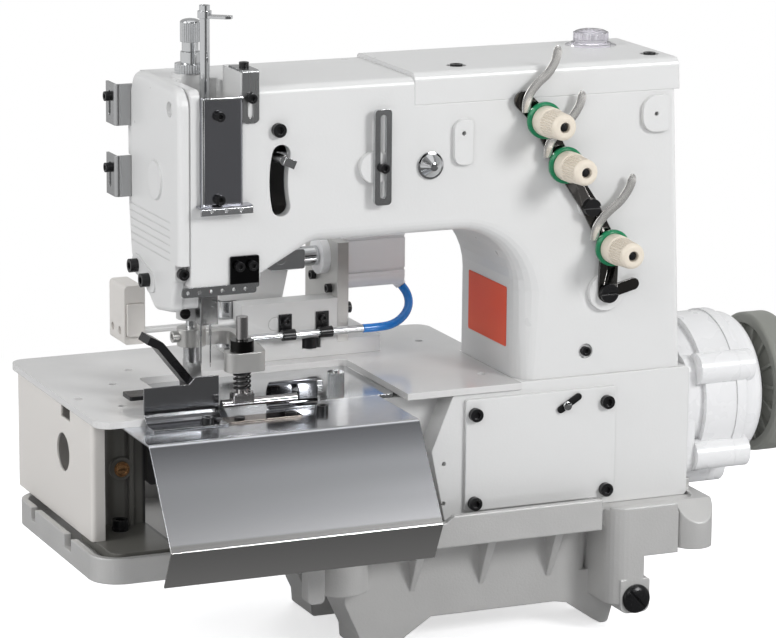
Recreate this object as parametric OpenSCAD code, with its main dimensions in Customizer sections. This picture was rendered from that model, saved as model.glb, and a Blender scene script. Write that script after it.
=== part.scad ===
// Belt loop making machine: a two-needle arm on a cast bed and oil pan, with a loop
// folder, a spring-loaded roller presser, thread tensions and an air-driven lift.
// Drawing frame: zero at the needle point on the work table's top face, +X to the
// right, +Y to the back, +Z up. at_origin() moves it to the middle of the base.

/* [Arm and column] */
// Height of the arm's top over the work table
arm_top = 230; // [222:1:245]
// Distance from the needle line forward to the arm's front face
arm_front = 38; // [36:1:42]
// Depth of the arm from front to back
arm_depth = 107; // [100:1:118]
// Distance from the needle line left to the face cover's seam
head_left = 25; // [24:1:30]
// Clear reach from the needle line to the column
reach = 231; // [220:1:260]
// Width of the column at the table
column_w = 133; // [126:1:145]
// Draft of the column's right side over its whole height
column_draft = 10; // [0:1:12]
// Clear height under the arm
throat_h = 116; // [112:1:120]
// Radius of the throat's inner corner
throat_r = 50; // [30:1:60]
// Rolled edge along the underside of the arm
arm_roll = 9; // [3:1:11]
// Rolled edge down the column's front
column_roll = 20; // [10:1:24]
// Rounding of the arm's long top edges
arm_edge = 6; // [3:0.5:9]
// Wall of the arm casting
arm_wall = 8; // [7:0.5:9]
// Height of the head's underside over the table
head_under = 90; // [88:1:92]
// Thickness of the face cover
face_t = 9; // [8:0.5:12]
// Thickness of the top cover over its skirt
top_cover_t = 3; // [2:0.5:5]

/* [Work table and bed] */
// Thickness of the work table
table_t = 5; // [4:0.5:6]
// Distance from the needle line to the table's left edge
table_left = 96; // [92:1:104]
// Distance from the needle line to the table's front edge
table_front = 42; // [40:1:42]
// Distance from the needle line to the table's back edge
table_back = 163; // [158:1:175]
// Corner radius of the work table
table_corner = 12; // [4:1:16]
// Right edge of the folder opening in the table
opening_right = 140; // [132:1:148]
// Back edge of the folder opening in the table
opening_back = 75; // [66:1:78]
// Thickness of the throat plate
plate_t = 3; // [2:0.5:4]
// Height of the bed casting below the table
bed_h = 99; // [96:1:104]
// How far the bed's front stands proud of the column
bed_proud = 2; // [1:0.5:4]
// Wall of the bed casting
bed_wall = 9; // [7:0.5:11]
// Width of the bed's front cover
cover_w = 122; // [112:1:126]
// Height of the bed's front cover
cover_h = 84; // [76:1:86]
// Thickness of the bed's front cover
cover_t = 3; // [2:0.5:4]

/* [Base] */
// Height of the work table over the floor of the base
stand_h = 196; // [192:1:220]
// Distance from the needle line to the pan's left side
pan_left = 104; // [102:1:112]
// Overhang of the pan's tray beyond the column at the right
pan_overhang = 12; // [8:1:20]
// Distance from the needle line to the pan's front
pan_front = 64; // [62:1:70]
// Distance from the needle line to the pan's back
pan_back = 129; // [122:1:145]
// Depth of the pan's outer wall
pan_h = 23; // [20:1:26]
// Wall of the pan
pan_wall = 5; // [4:0.5:6]
// Depth of the sump below the pan
sump_h = 63; // [50:1:68]
// Corner radius of the pan
pan_corner = 22; // [12:1:26]

/* [Needle drive] */
// Diameter of the needle bar
needle_bar_d = 7.2; // [6.4:0.1:7.6]
// Height of the needle bar's top end
needle_bar_top = 280; // [276:1:290]
// Stroke of the needle bar
needle_stroke = 31; // [28:1:32]
// Distance between the two needles
needle_gauge = 7.2; // [5.6:0.2:8]
// Diameter of the needle shanks
needle_d = 1.8; // [1.6:0.1:2]
// Diameter of the main shafts
shaft_d = 15; // [12:0.5:16]
// Height of the upper shaft over the table
shaft_top_z = 178; // [176:1:180]
// Distance of the lower shaft below the table
shaft_low_z = 31.5; // [30:0.5:34]
// Running clearance between a shaft or bar and its bore, on the radius
running = 0.05; // [0.02:0.01:0.09]

/* [Presser] */
// Diameter of the presser bar
presser_bar_d = 8; // [7:0.1:8.4]
// Diameter of the spring-loaded plunger
plunger_d = 8.5; // [7.5:0.1:9]
// Distance of the plunger in front of the needle line
plunger_out = 50; // [48:1:54]
// Diameter of the presser rod across the loop guard
rod_d = 6; // [5:0.2:7]
// Diameter of the regulator's knurled cap
regulator_d = 14.5; // [13:0.5:17]

/* [Thread tension] */
// Diameter of the tension knobs at their dial
knob_d = 22; // [20:0.5:23]
// Length of the tension knobs
knob_len = 32; // [28:1:36]
// Diameter of the dial ring behind each knob
dial_d = 27; // [25:0.5:28]
// Distance of the tension bracket in front of the arm
bracket_gap = 4; // [3:0.5:6]

/* [Loop guard and folder] */
// Sheet thickness of the folded guards
sheet_t = 1.5; // [1:0.1:2]
// Width of the loop guard
guard_w = 203; // [190:1:210]
// Distance from the needle line to the guard's front fold
guard_front = 138; // [134:1:150]
// Depth of the guard's flat top in front of the needle line
guard_top = 94; // [90:1:104]

/* [Air lift] */
// Outer height of the air cylinder's square body
cylinder_h = 33; // [30:1:34]
// Length of the air cylinder
cylinder_len = 50; // [44:1:60]
// Stroke of the air cylinder
cylinder_stroke = 10; // [8:1:11]
// Thickness of the cylinder plate
cylinder_plate_t = 9; // [7:0.5:11]
// Diameter of the air hose
hose_d = 6.5; // [6:0.1:7]
// Diameter of the air tube
tube_d = 5.5; // [5:0.1:5.9]

/* [Motor] */
// Diameter of the motor
motor_d = 117; // [110:1:120]
// Length of the motor's flange
motor_flange_len = 42; // [36:1:48]
// Length of the motor's housing
motor_len = 26; // [22:1:36]
// Diameter of the handwheel
wheel_d = 107; // [100:1:114]
// Width of the handwheel
wheel_w = 22; // [20:1:28]

/* [Hidden] */
$fn = 48;

// Finishes
paint = [0.87, 0.88, 0.87];
cream = [0.84, 0.83, 0.79];
cast = [0.62, 0.62, 0.63];
steel = [0.62, 0.63, 0.65];
chrome = [0.82, 0.83, 0.85];
dark = [0.16, 0.16, 0.17];
black = [0.07, 0.07, 0.08];
grey = [0.72, 0.72, 0.72];
beige = [0.80, 0.76, 0.66];
green = [0.10, 0.55, 0.33];
blue = [0.08, 0.42, 0.80];

// Small working gaps
slip = 0.1;
gap = 0.3;
eps = 0.01;

// Main planes
arm_x0 = -head_left;
arm_y0 = -arm_front;
arm_y1 = arm_depth - arm_front;
column_x1 = reach + column_w;
column_top_x1 = column_x1 - column_draft;
pan_right = column_x1 + pan_overhang;
bed_y0 = arm_y0 - bed_proud;
bed_x1 = column_x1 + 6;
bed_z0 = -bed_h;
face_x0 = arm_x0 - face_t;
plate_z = -table_t;
pan_rim = bed_z0 + 10;
pan_floor = pan_rim - pan_h;
sump_z = pan_floor - sump_h;
shaft_y = (arm_y0 + arm_y1) / 2;
motor_x0 = bed_x1;
motor_x1 = motor_x0 + motor_flange_len;
motor_x2 = motor_x1 + motor_len;
wheel_x0 = motor_x2 + 10;
wheel_x1 = wheel_x0 + wheel_w;
origin_x = (wheel_x1 - pan_left) / 2;
origin_y = (table_back - guard_front) / 2;

// Socket screw sizes: head diameter, head height, shank diameter
m6 = [10, 6, 6];
m5 = [8.5, 5, 5];
m4 = [7, 4, 4];
m3 = [5.5, 3, 3];

module at_origin() translate([-origin_x, -origin_y, stand_h]) children();

// Extrusions of an (x, z), a (y, z) and an (x, y) outline
module xz(y0, d) translate([0, y0 + d, 0]) rotate([90, 0, 0]) linear_extrude(d) children();
module yz(x0, d) translate([x0, 0, 0]) rotate([90, 0, 90]) linear_extrude(d) children();
module xy(z0, d) translate([0, 0, z0]) linear_extrude(d) children();

// Turn local +Z to the front, back, left or right
module to_front() rotate([90, 0, 0]) children();
module to_back() rotate([-90, 0, 0]) children();
module to_left() rotate([0, -90, 0]) children();
module to_right() rotate([0, 90, 0]) children();
module place(points) for (p = points) translate(p) children();

// Outlines: corners are [u, v, radius], walked anticlockwise
function unit(v) = v / norm(v);
function turn(a) = a > 180 ? a - 360 : a < -180 ? a + 360 : a;
function arc_points(c, r, a0, sweep, n) =
    [for (i = [0:n]) c + r * [cos(a0 + sweep * i / n), sin(a0 + sweep * i / n)]];
function corner_points(a, b, c) =
    b[2] == 0 ? [[b[0], b[1]]] :
    let (p = [b[0], b[1]], u = unit([a[0], a[1]] - p), v = unit([c[0], c[1]] - p),
         half = acos(u * v) / 2, m = p + unit(u + v) * b[2] / sin(half),
         s = p + u * b[2] / tan(half) - m, e = p + v * b[2] / tan(half) - m,
         a0 = atan2(s[1], s[0]), sweep = turn(atan2(e[1], e[0]) - a0))
    arc_points(m, b[2], a0, sweep, b[2] < 4 ? 4 : b[2] < 15 ? 6 : 10);
function rounded(c) = let (n = len(c))
    [for (i = [0:n - 1]) each corner_points(c[(i + n - 1) % n], c[i], c[(i + 1) % n])];
function box_corners(x0, y0, x1, y1, r) = [[x0, y0, r], [x1, y0, r], [x1, y1, r], [x0, y1, r]];
module shape(corners) polygon(rounded(corners));
module box_shape(x0, y0, x1, y1, r) shape(box_corners(x0, y0, x1, y1, r));

// Outline of a sheet of thickness t that lies to the left of a path of [u, v, bend radius]
function path_normal(p, i) =
    let (n = len(p), a = i == 0 ? p[0] : p[i - 1], b = i == 0 ? p[1] : p[i],
         c = i == n - 1 ? p[i - 1] : p[i], d = i == n - 1 ? p[i] : p[i + 1],
         d0 = unit([b[0] - a[0], b[1] - a[1]]), d1 = unit([d[0] - c[0], d[1] - c[1]]),
         s = d0 + d1)
    [-s[1], s[0]] * 2 / (s * s);
function path_turn(p, i) =
    i == 0 || i == len(p) - 1 ? 0 :
    sign((p[i][0] - p[i - 1][0]) * (p[i + 1][1] - p[i][1])
        - (p[i][1] - p[i - 1][1]) * (p[i + 1][0] - p[i][0]));
function sheet_outline(p, t) =
    let (wide = [for (i = [0:len(p) - 1]) path_turn(p, i) * sign(t)])
    rounded(concat(
        [for (i = [0:len(p) - 1]) [p[i][0], p[i][1], wide[i] > 0 ? p[i][2] + abs(t) : p[i][2]]],
        [for (i = [len(p) - 1:-1:0]) let (q = [p[i][0], p[i][1]] + t * path_normal(p, i))
            [q[0], q[1], wide[i] < 0 ? p[i][2] + abs(t) : p[i][2]]]));
module sheet(path, t) polygon(sheet_outline(path, t));

// Closed surface through rings of equal point count, anticlockwise about the way they run
module skin(rings) {
    n = len(rings[0]);
    m = len(rings);
    polyhedron(
        points = [for (r = rings) each r],
        faces = concat([[for (i = [0:n - 1]) i]], [[for (i = [n - 1:-1:0]) (m - 1) * n + i]],
            [for (k = [0:m - 2], i = [0:n - 1]) let (a = k * n + i, b = k * n + (i + 1) % n)
                each [[a, a + n, b], [b, a + n, b + n]]]));
}

// Tube of radius r swept through the points of a route
function route_direction(p, i) =
    unit(p[min(i + 1, len(p) - 1)] - p[max(i - 1, 0)]);
function route_ring(p, i, r, sides) =
    let (d = route_direction(p, i), u = unit(cross([0, 1, 0.001], d)), v = cross(d, u))
    [for (k = [0:sides - 1]) let (a = 360 * k / sides) p[i] + r * (u * cos(a) + v * sin(a))];
module tube_along(route, r, sides)
    skin([for (i = [0:len(route) - 1]) route_ring(route, i, r, sides)]);

// Fasteners and their holes: the seat is at z = 0 and the head above it
module cap_screw(size, length, point = 0) difference() {
    union() {
        cylinder(d = size[0], h = size[1]);
        translate([0, 0, -length]) cylinder(d = size[2], h = length + eps);
    }
    translate([0, 0, size[1] * 0.45]) cylinder(d = size[0] * 0.6, h = size[1], $fn = 6);
}
module screw_hole(size, length)
    translate([0, 0, -length - slip]) cylinder(d = size[2] + 2 * slip, h = length + 2);
module slot_screw(d, h, shank, length) difference() {
    union() {
        cylinder(d = d, h = h);
        translate([0, 0, -length]) cylinder(d = shank, h = length + eps);
    }
    translate([-d, -d * 0.07, h * 0.5]) cube([2 * d, d * 0.14, h]);
}

// Knurled cylinder: flutes cut round a plain one
module knurled(d, h, flutes, depth) difference() {
    cylinder(d = d, h = h);
    for (i = [0:flutes - 1]) rotate(i * 360 / flutes)
        translate([d / 2 + depth * 0.4, 0, -1]) cylinder(r = depth * 1.4, h = h + 2, $fn = 16);
}

// Slot with round ends in the xy plane, centred between two points
module slot(x0, y0, x1, y1, w, h) linear_extrude(h) slot_shape([x0, y0], [x1, y1], w);
module slot_shape(a, b, w) translate(a) rotate(atan2(b[1] - a[1], b[0] - a[0])) union() {
    translate([0, -w / 2]) square([norm(b - a), w]);
    circle(d = w);
    translate([norm(b - a), 0]) circle(d = w);
}

// ---- Places that several parts share ----
cap_x0 = 145;
cap_z0 = arm_top - 20;
cap_top = arm_top + top_cover_t;
cap_screws = [[cap_x0 + 43, arm_y0 + 24, cap_top - 2], [column_top_x1 - 10, arm_y0 + 24, cap_top - 2]];
sight_at = [column_top_x1 - 31, arm_y1 - 28, cap_top];
presser_x = -3;
presser_y = 21;
regulator_boss = 3.5;
needle_window_x = needle_gauge / 2 + 3;
needle_window_y = 2.4;
slot_x0 = -18;
slot_x1 = 13;
slot_y1 = 12;
slot_z0 = 149;
bridge_d = 10;
cover_out = 4;
cover_screws = [[-5.4, arm_y0 - cover_out, slot_z0 + 4], [-5.4, arm_y0 - cover_out, arm_top - 18]];
crank_r = needle_stroke / 2;
take_up_pivot = [130, 162];
take_up_r = 89;
take_up_tip = 10.4;
corner_x = slot_x1 + 6.5;
guide_at = [117.7, 168];
guide_boss = 5;
guide_t = 3;
thread_plate = [4, 88, 25.5, 111];
thread_screws = [[10, arm_y0 - 2, 104], [20, arm_y0 - 2, 104]];
bracket_y = arm_y0 - bracket_gap;
bracket_t = 2;
tension_at = [[reach + 11.7, arm_top - 35], [reach + 29.5, arm_top - 69], [reach + 68.6, arm_top - 133]];
tension_screw = [reach + 52, arm_top - 102];
tension_foot = [reach + 67.8, arm_top - 167.5];
post_d = 5;
ear_screws = [[face_x0 - 1, 47, head_under + 1], [face_x0 - 1, 23, head_under - 5]];
bed_cover_x0 = reach - 45;
bed_cover_z1 = -9;
bed_cover_screws = [for (x = [bed_cover_x0 + 7, bed_cover_x0 + cover_w - 8],
    z = [bed_cover_z1 - 11, bed_cover_z1 - cover_h + 6]) [x, bed_y0 - cover_t, z]];
guard_x0 = -77;
guard_y1 = -19;
guard_screws = [[-20, -57, plate_z + sheet_t], [70, -50, plate_z]];
roller_plate_screws = [[6, -52, plate_z + sheet_t], [45, -52, plate_z + sheet_t]];
chute_y = -table_front - gap;
thumb_at = [110, 22];
belt_x0 = reach + 58;
belt_w = 11;
pulley_r = 22;
lever_at = [88.3, 27.7];
pin_at = [100.5, 73];
air_y = 116;
air_z = 72;
beam = [62, 89, 139, 107];
beam_z1 = 44;
beam_foot_h = 12.5;
plate_x1 = beam[2] + cylinder_plate_t;
puller_at = [60, air_y];
clip_x = [96.7, 126.6];
tube_at = [82, 20.5];
clip_screws = [for (x = clip_x) [x, beam[1] - 1.5, 30]];
foot_screw = [118, 93, 7];
foot_lug = [-65, 2, bed_z0 + 7];

// ---- Arm and column ----

// Outline of the clear space under the arm, and the roll left at each of its points
throat = rounded([[-pan_left, plate_z - 5, 0], [reach, plate_z - 5, 0],
    [reach, throat_h, throat_r], [68, throat_h, 20], [14, head_under, 0],
    [-pan_left, head_under, 0]]);
function throat_roll(p) =
    p[0] < 20 ? 0.5 :
    p[0] < reach - throat_r ? arm_roll :
    let (t = max(0, (p[1] - throat_h + throat_r) / throat_r)) column_roll + (arm_roll - column_roll) * t;
function outline_normal(p, i) =
    let (n = len(p), s = unit(p[i] - p[(i + n - 1) % n]) + unit(p[(i + 1) % n] - p[i]))
    unit([s[1], -s[0]]);
function throat_ring(a, y, side, limit) =
    [for (i = [0:len(throat) - 1]) let (r = min(limit, throat_roll(throat[i])),
        q = throat[i] + outline_normal(throat, i) * r * (1 - sin(a)))
        [q[0], y + side * r * (1 - cos(a)), q[1]]];
back_roll = 5;
module throat_cutter() skin(concat(
    [throat_ring(0, arm_y1 + 5, -1, back_roll)],
    [for (a = [0:30:90]) throat_ring(a, arm_y1, -1, back_roll)],
    [for (a = [90:-15:0]) throat_ring(a, arm_y0, 1, column_roll)],
    [throat_ring(0, arm_y0 - 5, 1, column_roll)]));

// Round-ended slot for the take-up lever, bent about the lever's pivot
module take_up_slot(y0, d) {
    a0 = 180 - 12.4;
    a1 = 180 + 11.8;
    w = 14;
    xz(y0, d) polygon(concat(arc_points(take_up_pivot, take_up_r + w / 2, a0, a1 - a0, 12),
        arc_points(take_up_pivot, take_up_r - w / 2, a1, a0 - a1, 12)));
    for (a = [a0, a1]) let (p = take_up_pivot + take_up_r * [cos(a), sin(a)])
        translate([p[0], y0 + d, p[1]]) to_front() cylinder(d = w, h = d);
}

// Drafted block with long rounded edges along its top
module arm_block() intersection() {
    hull() {
        xy(0, eps) box_shape(arm_x0, arm_y0, column_x1, arm_y1, arm_edge);
        xy(arm_top - eps, eps) box_shape(arm_x0, arm_y0, column_top_x1, arm_y1, arm_edge);
        xy(0, arm_top) translate([arm_x0, arm_y0]) square([arm_edge, arm_depth]);
    }
    yz(arm_x0, column_x1 - arm_x0) shape([[arm_y0, 0, 0], [arm_y1, 0, 0],
        [arm_y1, arm_top, arm_edge], [arm_y0, arm_top, arm_edge]]);
}

// Bosses on the arm's front, with a flat on those that carry one
module front_boss(x, z, d, h) translate([x, arm_y0 + eps, z]) to_front() cylinder(d = d, h = h + eps);
module flat_boss(x, z, w, hgt, h) xz(arm_y0 - h, h + eps)
    shape([[x - w / 2, z - hgt / 2, w / 2 - 0.5], [x + w / 2, z - hgt / 2, 3],
        [x + w / 2, z + hgt / 2, 3], [x - w / 2, z + hgt / 2, w / 2 - 0.5]]);

flat_boss_h = 3.5;
module arm_bosses() {
    front_boss(guide_at[0] - 4.7, guide_at[1], 23, guide_boss);
    front_boss(tension_foot[0], tension_foot[1], 28, bracket_gap);
    front_boss(tension_screw[0], tension_screw[1], 16, bracket_gap);
    flat_boss(182.5, arm_top - 48.5, 15, 33, flat_boss_h);
    flat_boss(column_top_x1 - 17, arm_top - 37, 22, 27, flat_boss_h);
    // Pad beside the needle bar slot
    xy(arm_top - 20, 31) box_shape(slot_x1, arm_y0, slot_x1 + 12, 0, 2);
    // Regulator boss and presser bar bush
    translate([presser_x, presser_y, arm_top - 5]) cylinder(d = 27, h = 5 + regulator_boss);
    translate([presser_x, presser_y, head_under - 35]) cylinder(d = 22, h = 36);
    // Jaw behind the face cover's tip
    yz(arm_x0, 12) shape([[-22, head_under + 2, 0], [-20, head_under - 19, 5], [13, head_under - 23, 9],
        [32, head_under - 11, 6], [56, head_under - 3, 3], [56, head_under + 2, 0]]);
    // Posts for the top cover's screws
    for (s = cap_screws) xy(cap_z0 - 22, cap_top - top_cover_t - cap_z0 + 22)
        box_shape(s[0] - 9, arm_y0 + arm_wall - 1, s[0] + 9, s[1] + 8, 1);
    // Stud of the take-up lever
    translate([take_up_pivot[0], arm_y0 + arm_wall + 13, take_up_pivot[1]])
        to_front() cylinder(d = 8, h = 14);
}

module arm_cavity() {
    y0 = arm_y0 + arm_wall;
    y1 = arm_y1 - arm_wall;
    // Arm, and column down to the bed
    xz(y0, y1 - y0) box_shape(30, throat_h + arm_wall, reach - 10, arm_top - arm_wall, 5);
    xy(-1, arm_top - arm_wall + 1)
        box_shape(reach + arm_wall, y0, column_top_x1 - arm_wall, y1, 12);
    // Rim under the top cover
    translate([cap_x0 + 8, y0, throat_h + 30]) cube([column_top_x1 - cap_x0 - 16, y1 - y0, arm_top]);
}

module arm_casting() color(paint) difference() {
    union() {
        difference() {
            arm_block();
            throat_cutter();
            difference() {
                arm_cavity();
                translate([reach - 10, arm_y0, throat_h])
                    cube([10 + arm_wall, arm_depth, shaft_top_z + 20 - throat_h]);
            }
            // Seat of the top cover
            translate([cap_x0, arm_y0 - 1, cap_z0]) cube([column_w + reach, arm_depth + 2, arm_top]);
        }
        arm_bosses();
    }
    // Slot of the needle bar, with two bridges for its cover
    translate([slot_x0, arm_y0 + bridge_d, head_under + 16])
        cube([slot_x1 - slot_x0, slot_y1 - arm_y0 - bridge_d, arm_top]);
    translate([slot_x0, arm_y0 - 1, slot_z0 + 8])
        cube([slot_x1 - slot_x0, bridge_d + 2, arm_top - 22 - slot_z0 - 8]);
    translate([slot_x0, arm_y0 - 1, arm_top - 14])
        cube([slot_x1 - slot_x0, bridge_d + 2, arm_top]);
    translate([4 - gap, 0, shaft_top_z]) to_right() cylinder(d = needle_stroke + 15, h = slot_x1 - 4 + gap);
    // Bores of the shaft, the needle bar, the presser bar and the regulator
    translate([slot_x1 - 1, 0, shaft_top_z]) to_right()
        cylinder(d = shaft_d + 2 * running, h = reach + arm_wall - slot_x1 + 2);
    translate([0, 0, head_under - 1]) cylinder(d = needle_bar_d + 2 * running, h = 18);
    translate([presser_x, presser_y, head_under - 36])
        cylinder(d = presser_bar_d + 2 * running, h = arm_top);
    translate([presser_x, presser_y, arm_top - 12]) cylinder(d = 11 + 2 * slip, h = 20);
    take_up_slot(arm_y0 - 1, arm_wall + 2);
    // Screw holes
    place(cap_screws) screw_hole(m5, 14);
    place(cover_screws) to_front() screw_hole(m4, 9);
    place(thread_screws) to_front() screw_hole(m4, 6);
    place(ear_screws) to_left() screw_hole(m6, 18);
    place(corner_screws) screw_hole(m4, 6);
    place(arm_front_screws) to_front() screw_hole(m4, 9);
    translate([tension_screw[0], bracket_y - bracket_t, tension_screw[1]]) to_front() screw_hole(m6, 10);
    translate([tension_foot[0], bracket_y - bracket_t, tension_foot[1]]) to_front() screw_hole(m6, 10);
    translate([bush_screw[0], bush_screw[1], bush_screw[2]]) to_front() screw_hole(m4, 4);
    // Plain holes in the two flat bosses, counterbore of the column's screw
    for (p = [[182.5, arm_top - 42], [column_top_x1 - 17, arm_top - 37]])
        translate([p[0], arm_y0 - flat_boss_h, p[1]]) to_front() screw_hole(m3, 7);
    translate([arm_front_screws[2][0], arm_y0 + 2, arm_front_screws[2][2]]) to_front()
        cylinder(d = 11, h = 4);
}
corner_screws = [[corner_x, -26, arm_top + 11 + sheet_t]];
arm_front_screws = [[40.4, arm_y0, arm_top - 31], [guide_at[0], arm_y0 - guide_boss - guide_t, guide_at[1]],
    [reach + 53.4, arm_y0 + 2, 18.4], [corner_x, arm_y0 - sheet_t, arm_top - 7]];
bush_screw = [presser_x - 9, presser_y - 11, head_under - 29];

module top_cover_block(inset) intersection() {
    xz(arm_y0 + inset, arm_depth - 2 * inset) polygon([[cap_x0 + inset, cap_z0],
        [column_top_x1 + 3 - inset, cap_z0], [column_top_x1 + 2 - inset, cap_top],
            [cap_x0 + inset, cap_top]]);
    yz(cap_x0, column_w + reach) shape([[arm_y0 + inset, cap_z0, 0], [arm_y1 - inset, cap_z0, 0],
        [arm_y1 - inset, cap_top - inset * 0.75, arm_edge],
            [arm_y0 + inset, cap_top - inset * 0.75, arm_edge]]);
}
module arm_top_cover() color(paint) difference() {
    top_cover_block(0);
    difference() {
        translate([0, 0, -eps]) top_cover_block(4);
        // Pads round the screws
        translate([0, 0, cap_top - top_cover_t]) xy(0, arm_top) square([column_x1, 1]);
    }
    place(cap_screws) {
        screw_hole(m5, 14);
        cylinder(d = 14, h = 5);
    }
    for (s = cap_screws) xy(cap_z0 - 1, cap_top - top_cover_t - cap_z0 + 1)
        box_shape(s[0] - 9 - slip, arm_y0 + arm_wall - 2, s[0] + 9 + slip, s[1] + 8 + slip, 1);
    translate([sight_at[0], sight_at[1], cap_top - 1.5]) cylinder(d = 38, h = 5);
    translate([sight_at[0], sight_at[1], cap_z0]) cylinder(d = 24, h = arm_top);
}

module oil_sight_glass() color([0.75, 0.72, 0.80]) translate([sight_at[0], sight_at[1], cap_top - 1.5]) {
    // Brim and screwed neck, fluted cap with a low dome
    cylinder(d = 30, h = 3.5);
    translate([0, 0, 3]) knurled(26.5, 8, 24, 0.7);
    translate([0, 0, 10.9]) rotate_extrude()
        polygon(concat([[0, 0]], [for (a = [0:18:90]) [12.4 * cos(a), 2.6 * sin(a)]]));
}

// ---- Head ----

face_outline = rounded([[arm_y1 - 3, 212, 20], [arm_y1 - 15, arm_top + 2, 14], [arm_y0, arm_top, 14],
    [arm_y0, head_under + 5, 5], [-27, head_under + 3, 3], [-22, head_under - 20, 6],
    [13, head_under - 25, 10], [32, head_under - 13, 6], [57, head_under - 5, 7], [63, head_under + 8, 8],
    [arm_y1 - 1, 132, 30], [arm_y1, 190, 20]]);
face_edge = 3.5;
face_seam = 1.2;
face_screw = [face_x0 + 5, arm_y0 + 7.6, head_under + 9.5];
function face_ring(x, o) = [for (i = [0:len(face_outline) - 1])
    let (q = face_outline[i] - outline_normal(face_outline, i) * o) [x, q[0], q[1]]];
module face_cover() color(paint) difference() {
    union() {
        // Rounded edge outside, shadow groove along the casting
        skin(concat([for (a = [0:15:90]) face_ring(face_x0 + face_edge * (1 - cos(a)),
            face_edge * (1 - sin(a)))],
            [face_ring(arm_x0 - face_seam, 0), face_ring(arm_x0 - face_seam + 0.2, face_seam),
                face_ring(arm_x0, face_seam)]));
        // Raised plate of the two lower screws, and the round boss
        yz(face_x0 - 1, 2) shape([[8, head_under - 12, 5], [24, head_under - 14, 5], [30, head_under - 9, 5],
            [57, head_under - 4, 6], [57, head_under + 9, 6], [44, head_under + 9, 6],
            [14, head_under + 1, 6]]);
        translate([face_x0 + eps, 9, 160]) to_left() cylinder(d1 = 28.5, d2 = 27.5, h = 1.5);
    }
    // Notches for the two brackets, hollow back
    for (z = bracket_z) translate([face_x0 - 1, bracket_y0 - gap, z - gap])
        cube([face_t + 2, 12, bracket_h + 2 * gap]);
    yz(arm_x0 - 5, 6) shape([[-30, 107, 4], [-14, 80, 6], [12, 76, 6], [30, 88, 6], [50, 96, 6],
        [59, 130, 10],
        [59, 205, 10], [48, 222, 6], [-30, 220, 6]]);
    place(ear_screws) to_left() screw_hole(m6, 14);
    // Recess of the front screw, inspection hole, lower screw and the faint grooves
    translate([face_x0 - 1, arm_y0 - 1, head_under - 2]) cube([face_t + 2, 8.6, 18]);
    place([face_screw]) to_front() screw_hole(m4, 6);
    translate([face_x0 - 1, arm_y0 + 18, arm_top - 15]) to_right() cylinder(d = 11, h = 4);
    translate([face_x0 - 1, 33, head_under - 5]) to_right() cylinder(d = 5, h = 6);
    for (i = [0:5]) translate([face_x0 - 1, -20, 107 + 5.4 * i]) cube([1.3, arm_depth, 0.8]);
}

module face_brackets() color(steel) for (z = bracket_z) difference() {
    x0 = arm_x0 - 19;
    y0 = bracket_y0 + 2;
    xy(z, bracket_h) sheet([[arm_x0 - 2, arm_y1, 0], [arm_x0 - 2, y0, 1], [x0, y0, 1], [x0, y0 + 18, 0]], 2);
    translate([x0 - 3, y0 + 10, z + 8]) rotate([90, 0, 90]) slot(0, 0, 0, 14, 4.4, 5);
}
bracket_z = [arm_top - 91, arm_top - 39];
bracket_h = 30;
bracket_y0 = arm_y1 - 9;
bracket_screws = [for (z = bracket_z) [arm_x0 - 21, bracket_y0 + 12, z + 20]];

module needle_bar_cover() color(dark) difference() {
    union() {
        xy(slot_z0, arm_top - 5 - slot_z0) sheet([[slot_x0, arm_y0, 0], [slot_x0, arm_y0 - cover_out, 1],
            [slot_x1, arm_y0 - cover_out, 1], [slot_x1, arm_y0, 0]], sheet_t * 0.7);
        // Thread lip
        yz(slot_x0 - 3, slot_x1 - slot_x0 + 8) sheet([[arm_y0, slot_z0, 0],
            [arm_y0 - 10, slot_z0, 1], [arm_y0 - 10, slot_z0 - 6, 0]], sheet_t);
    }
    place(cover_screws) to_front() screw_hole(m4, 9);
    for (x = [-13, -2, 9]) translate([x, arm_y0 - 15, slot_z0 - 3]) to_back() cylinder(d = 2.4, h = 10);
}

module corner_thread_bracket() color(steel) difference() {
    intersection() {
        yz(slot_x1 + gap, 12.5) sheet([[arm_y0, arm_top - 25, 0], [arm_y0, arm_top + 11, 0],
            [-12, arm_top + 11, 0]], sheet_t);
        xz(arm_y0 - 5, 40) box_shape(slot_x1, arm_top - 25, slot_x1 + 13, arm_top + 20, 4);
    }
    translate([corner_x, arm_y0 + 5, arm_top - 19]) to_front() slot(0, 0, 0, 14, 4.2, 10);
    place(corner_screws) screw_hole(m4, 6);
}

module slotted_guide_bar() color(steel) translate([guide_at[0], arm_y0 - guide_boss, guide_at[1]]) to_front()
    difference() {
        xy(0, guide_t) box_shape(-6.5, -27, 6.5, 42, 3);
        translate([0, 0, -1]) slot(0, -20, 0, 36, 4.4, guide_t + 2);
    }

module cone_plug() color(chrome) translate([157.4, arm_y0, arm_top - 64]) to_front() rotate_extrude()
    polygon([[0, 0], [10, 0], [10, 1.5], [8.5, 2], [3, 8], [2, 8.4], [0, 8.4]]);

module thread_guide_bar() color(black) difference() {
    xz(arm_y0 - 2, 2) union() {
        box_shape(thread_plate[0], thread_plate[1], thread_plate[2], thread_plate[3], 1.5);
        box_shape(face_x0 + 1.5, thread_plate[1] - 4, thread_plate[2] - 2, thread_plate[1] + 3, 2);
    }
    place(thread_screws) to_front() screw_hole(m4, 6);
    for (i = [0:5]) translate([face_x0 + 6 + 8.6 * i, arm_y0 - 5, thread_plate[1] - 0.5])
        to_back() cylinder(d = 2.6, h = 10);
}

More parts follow.
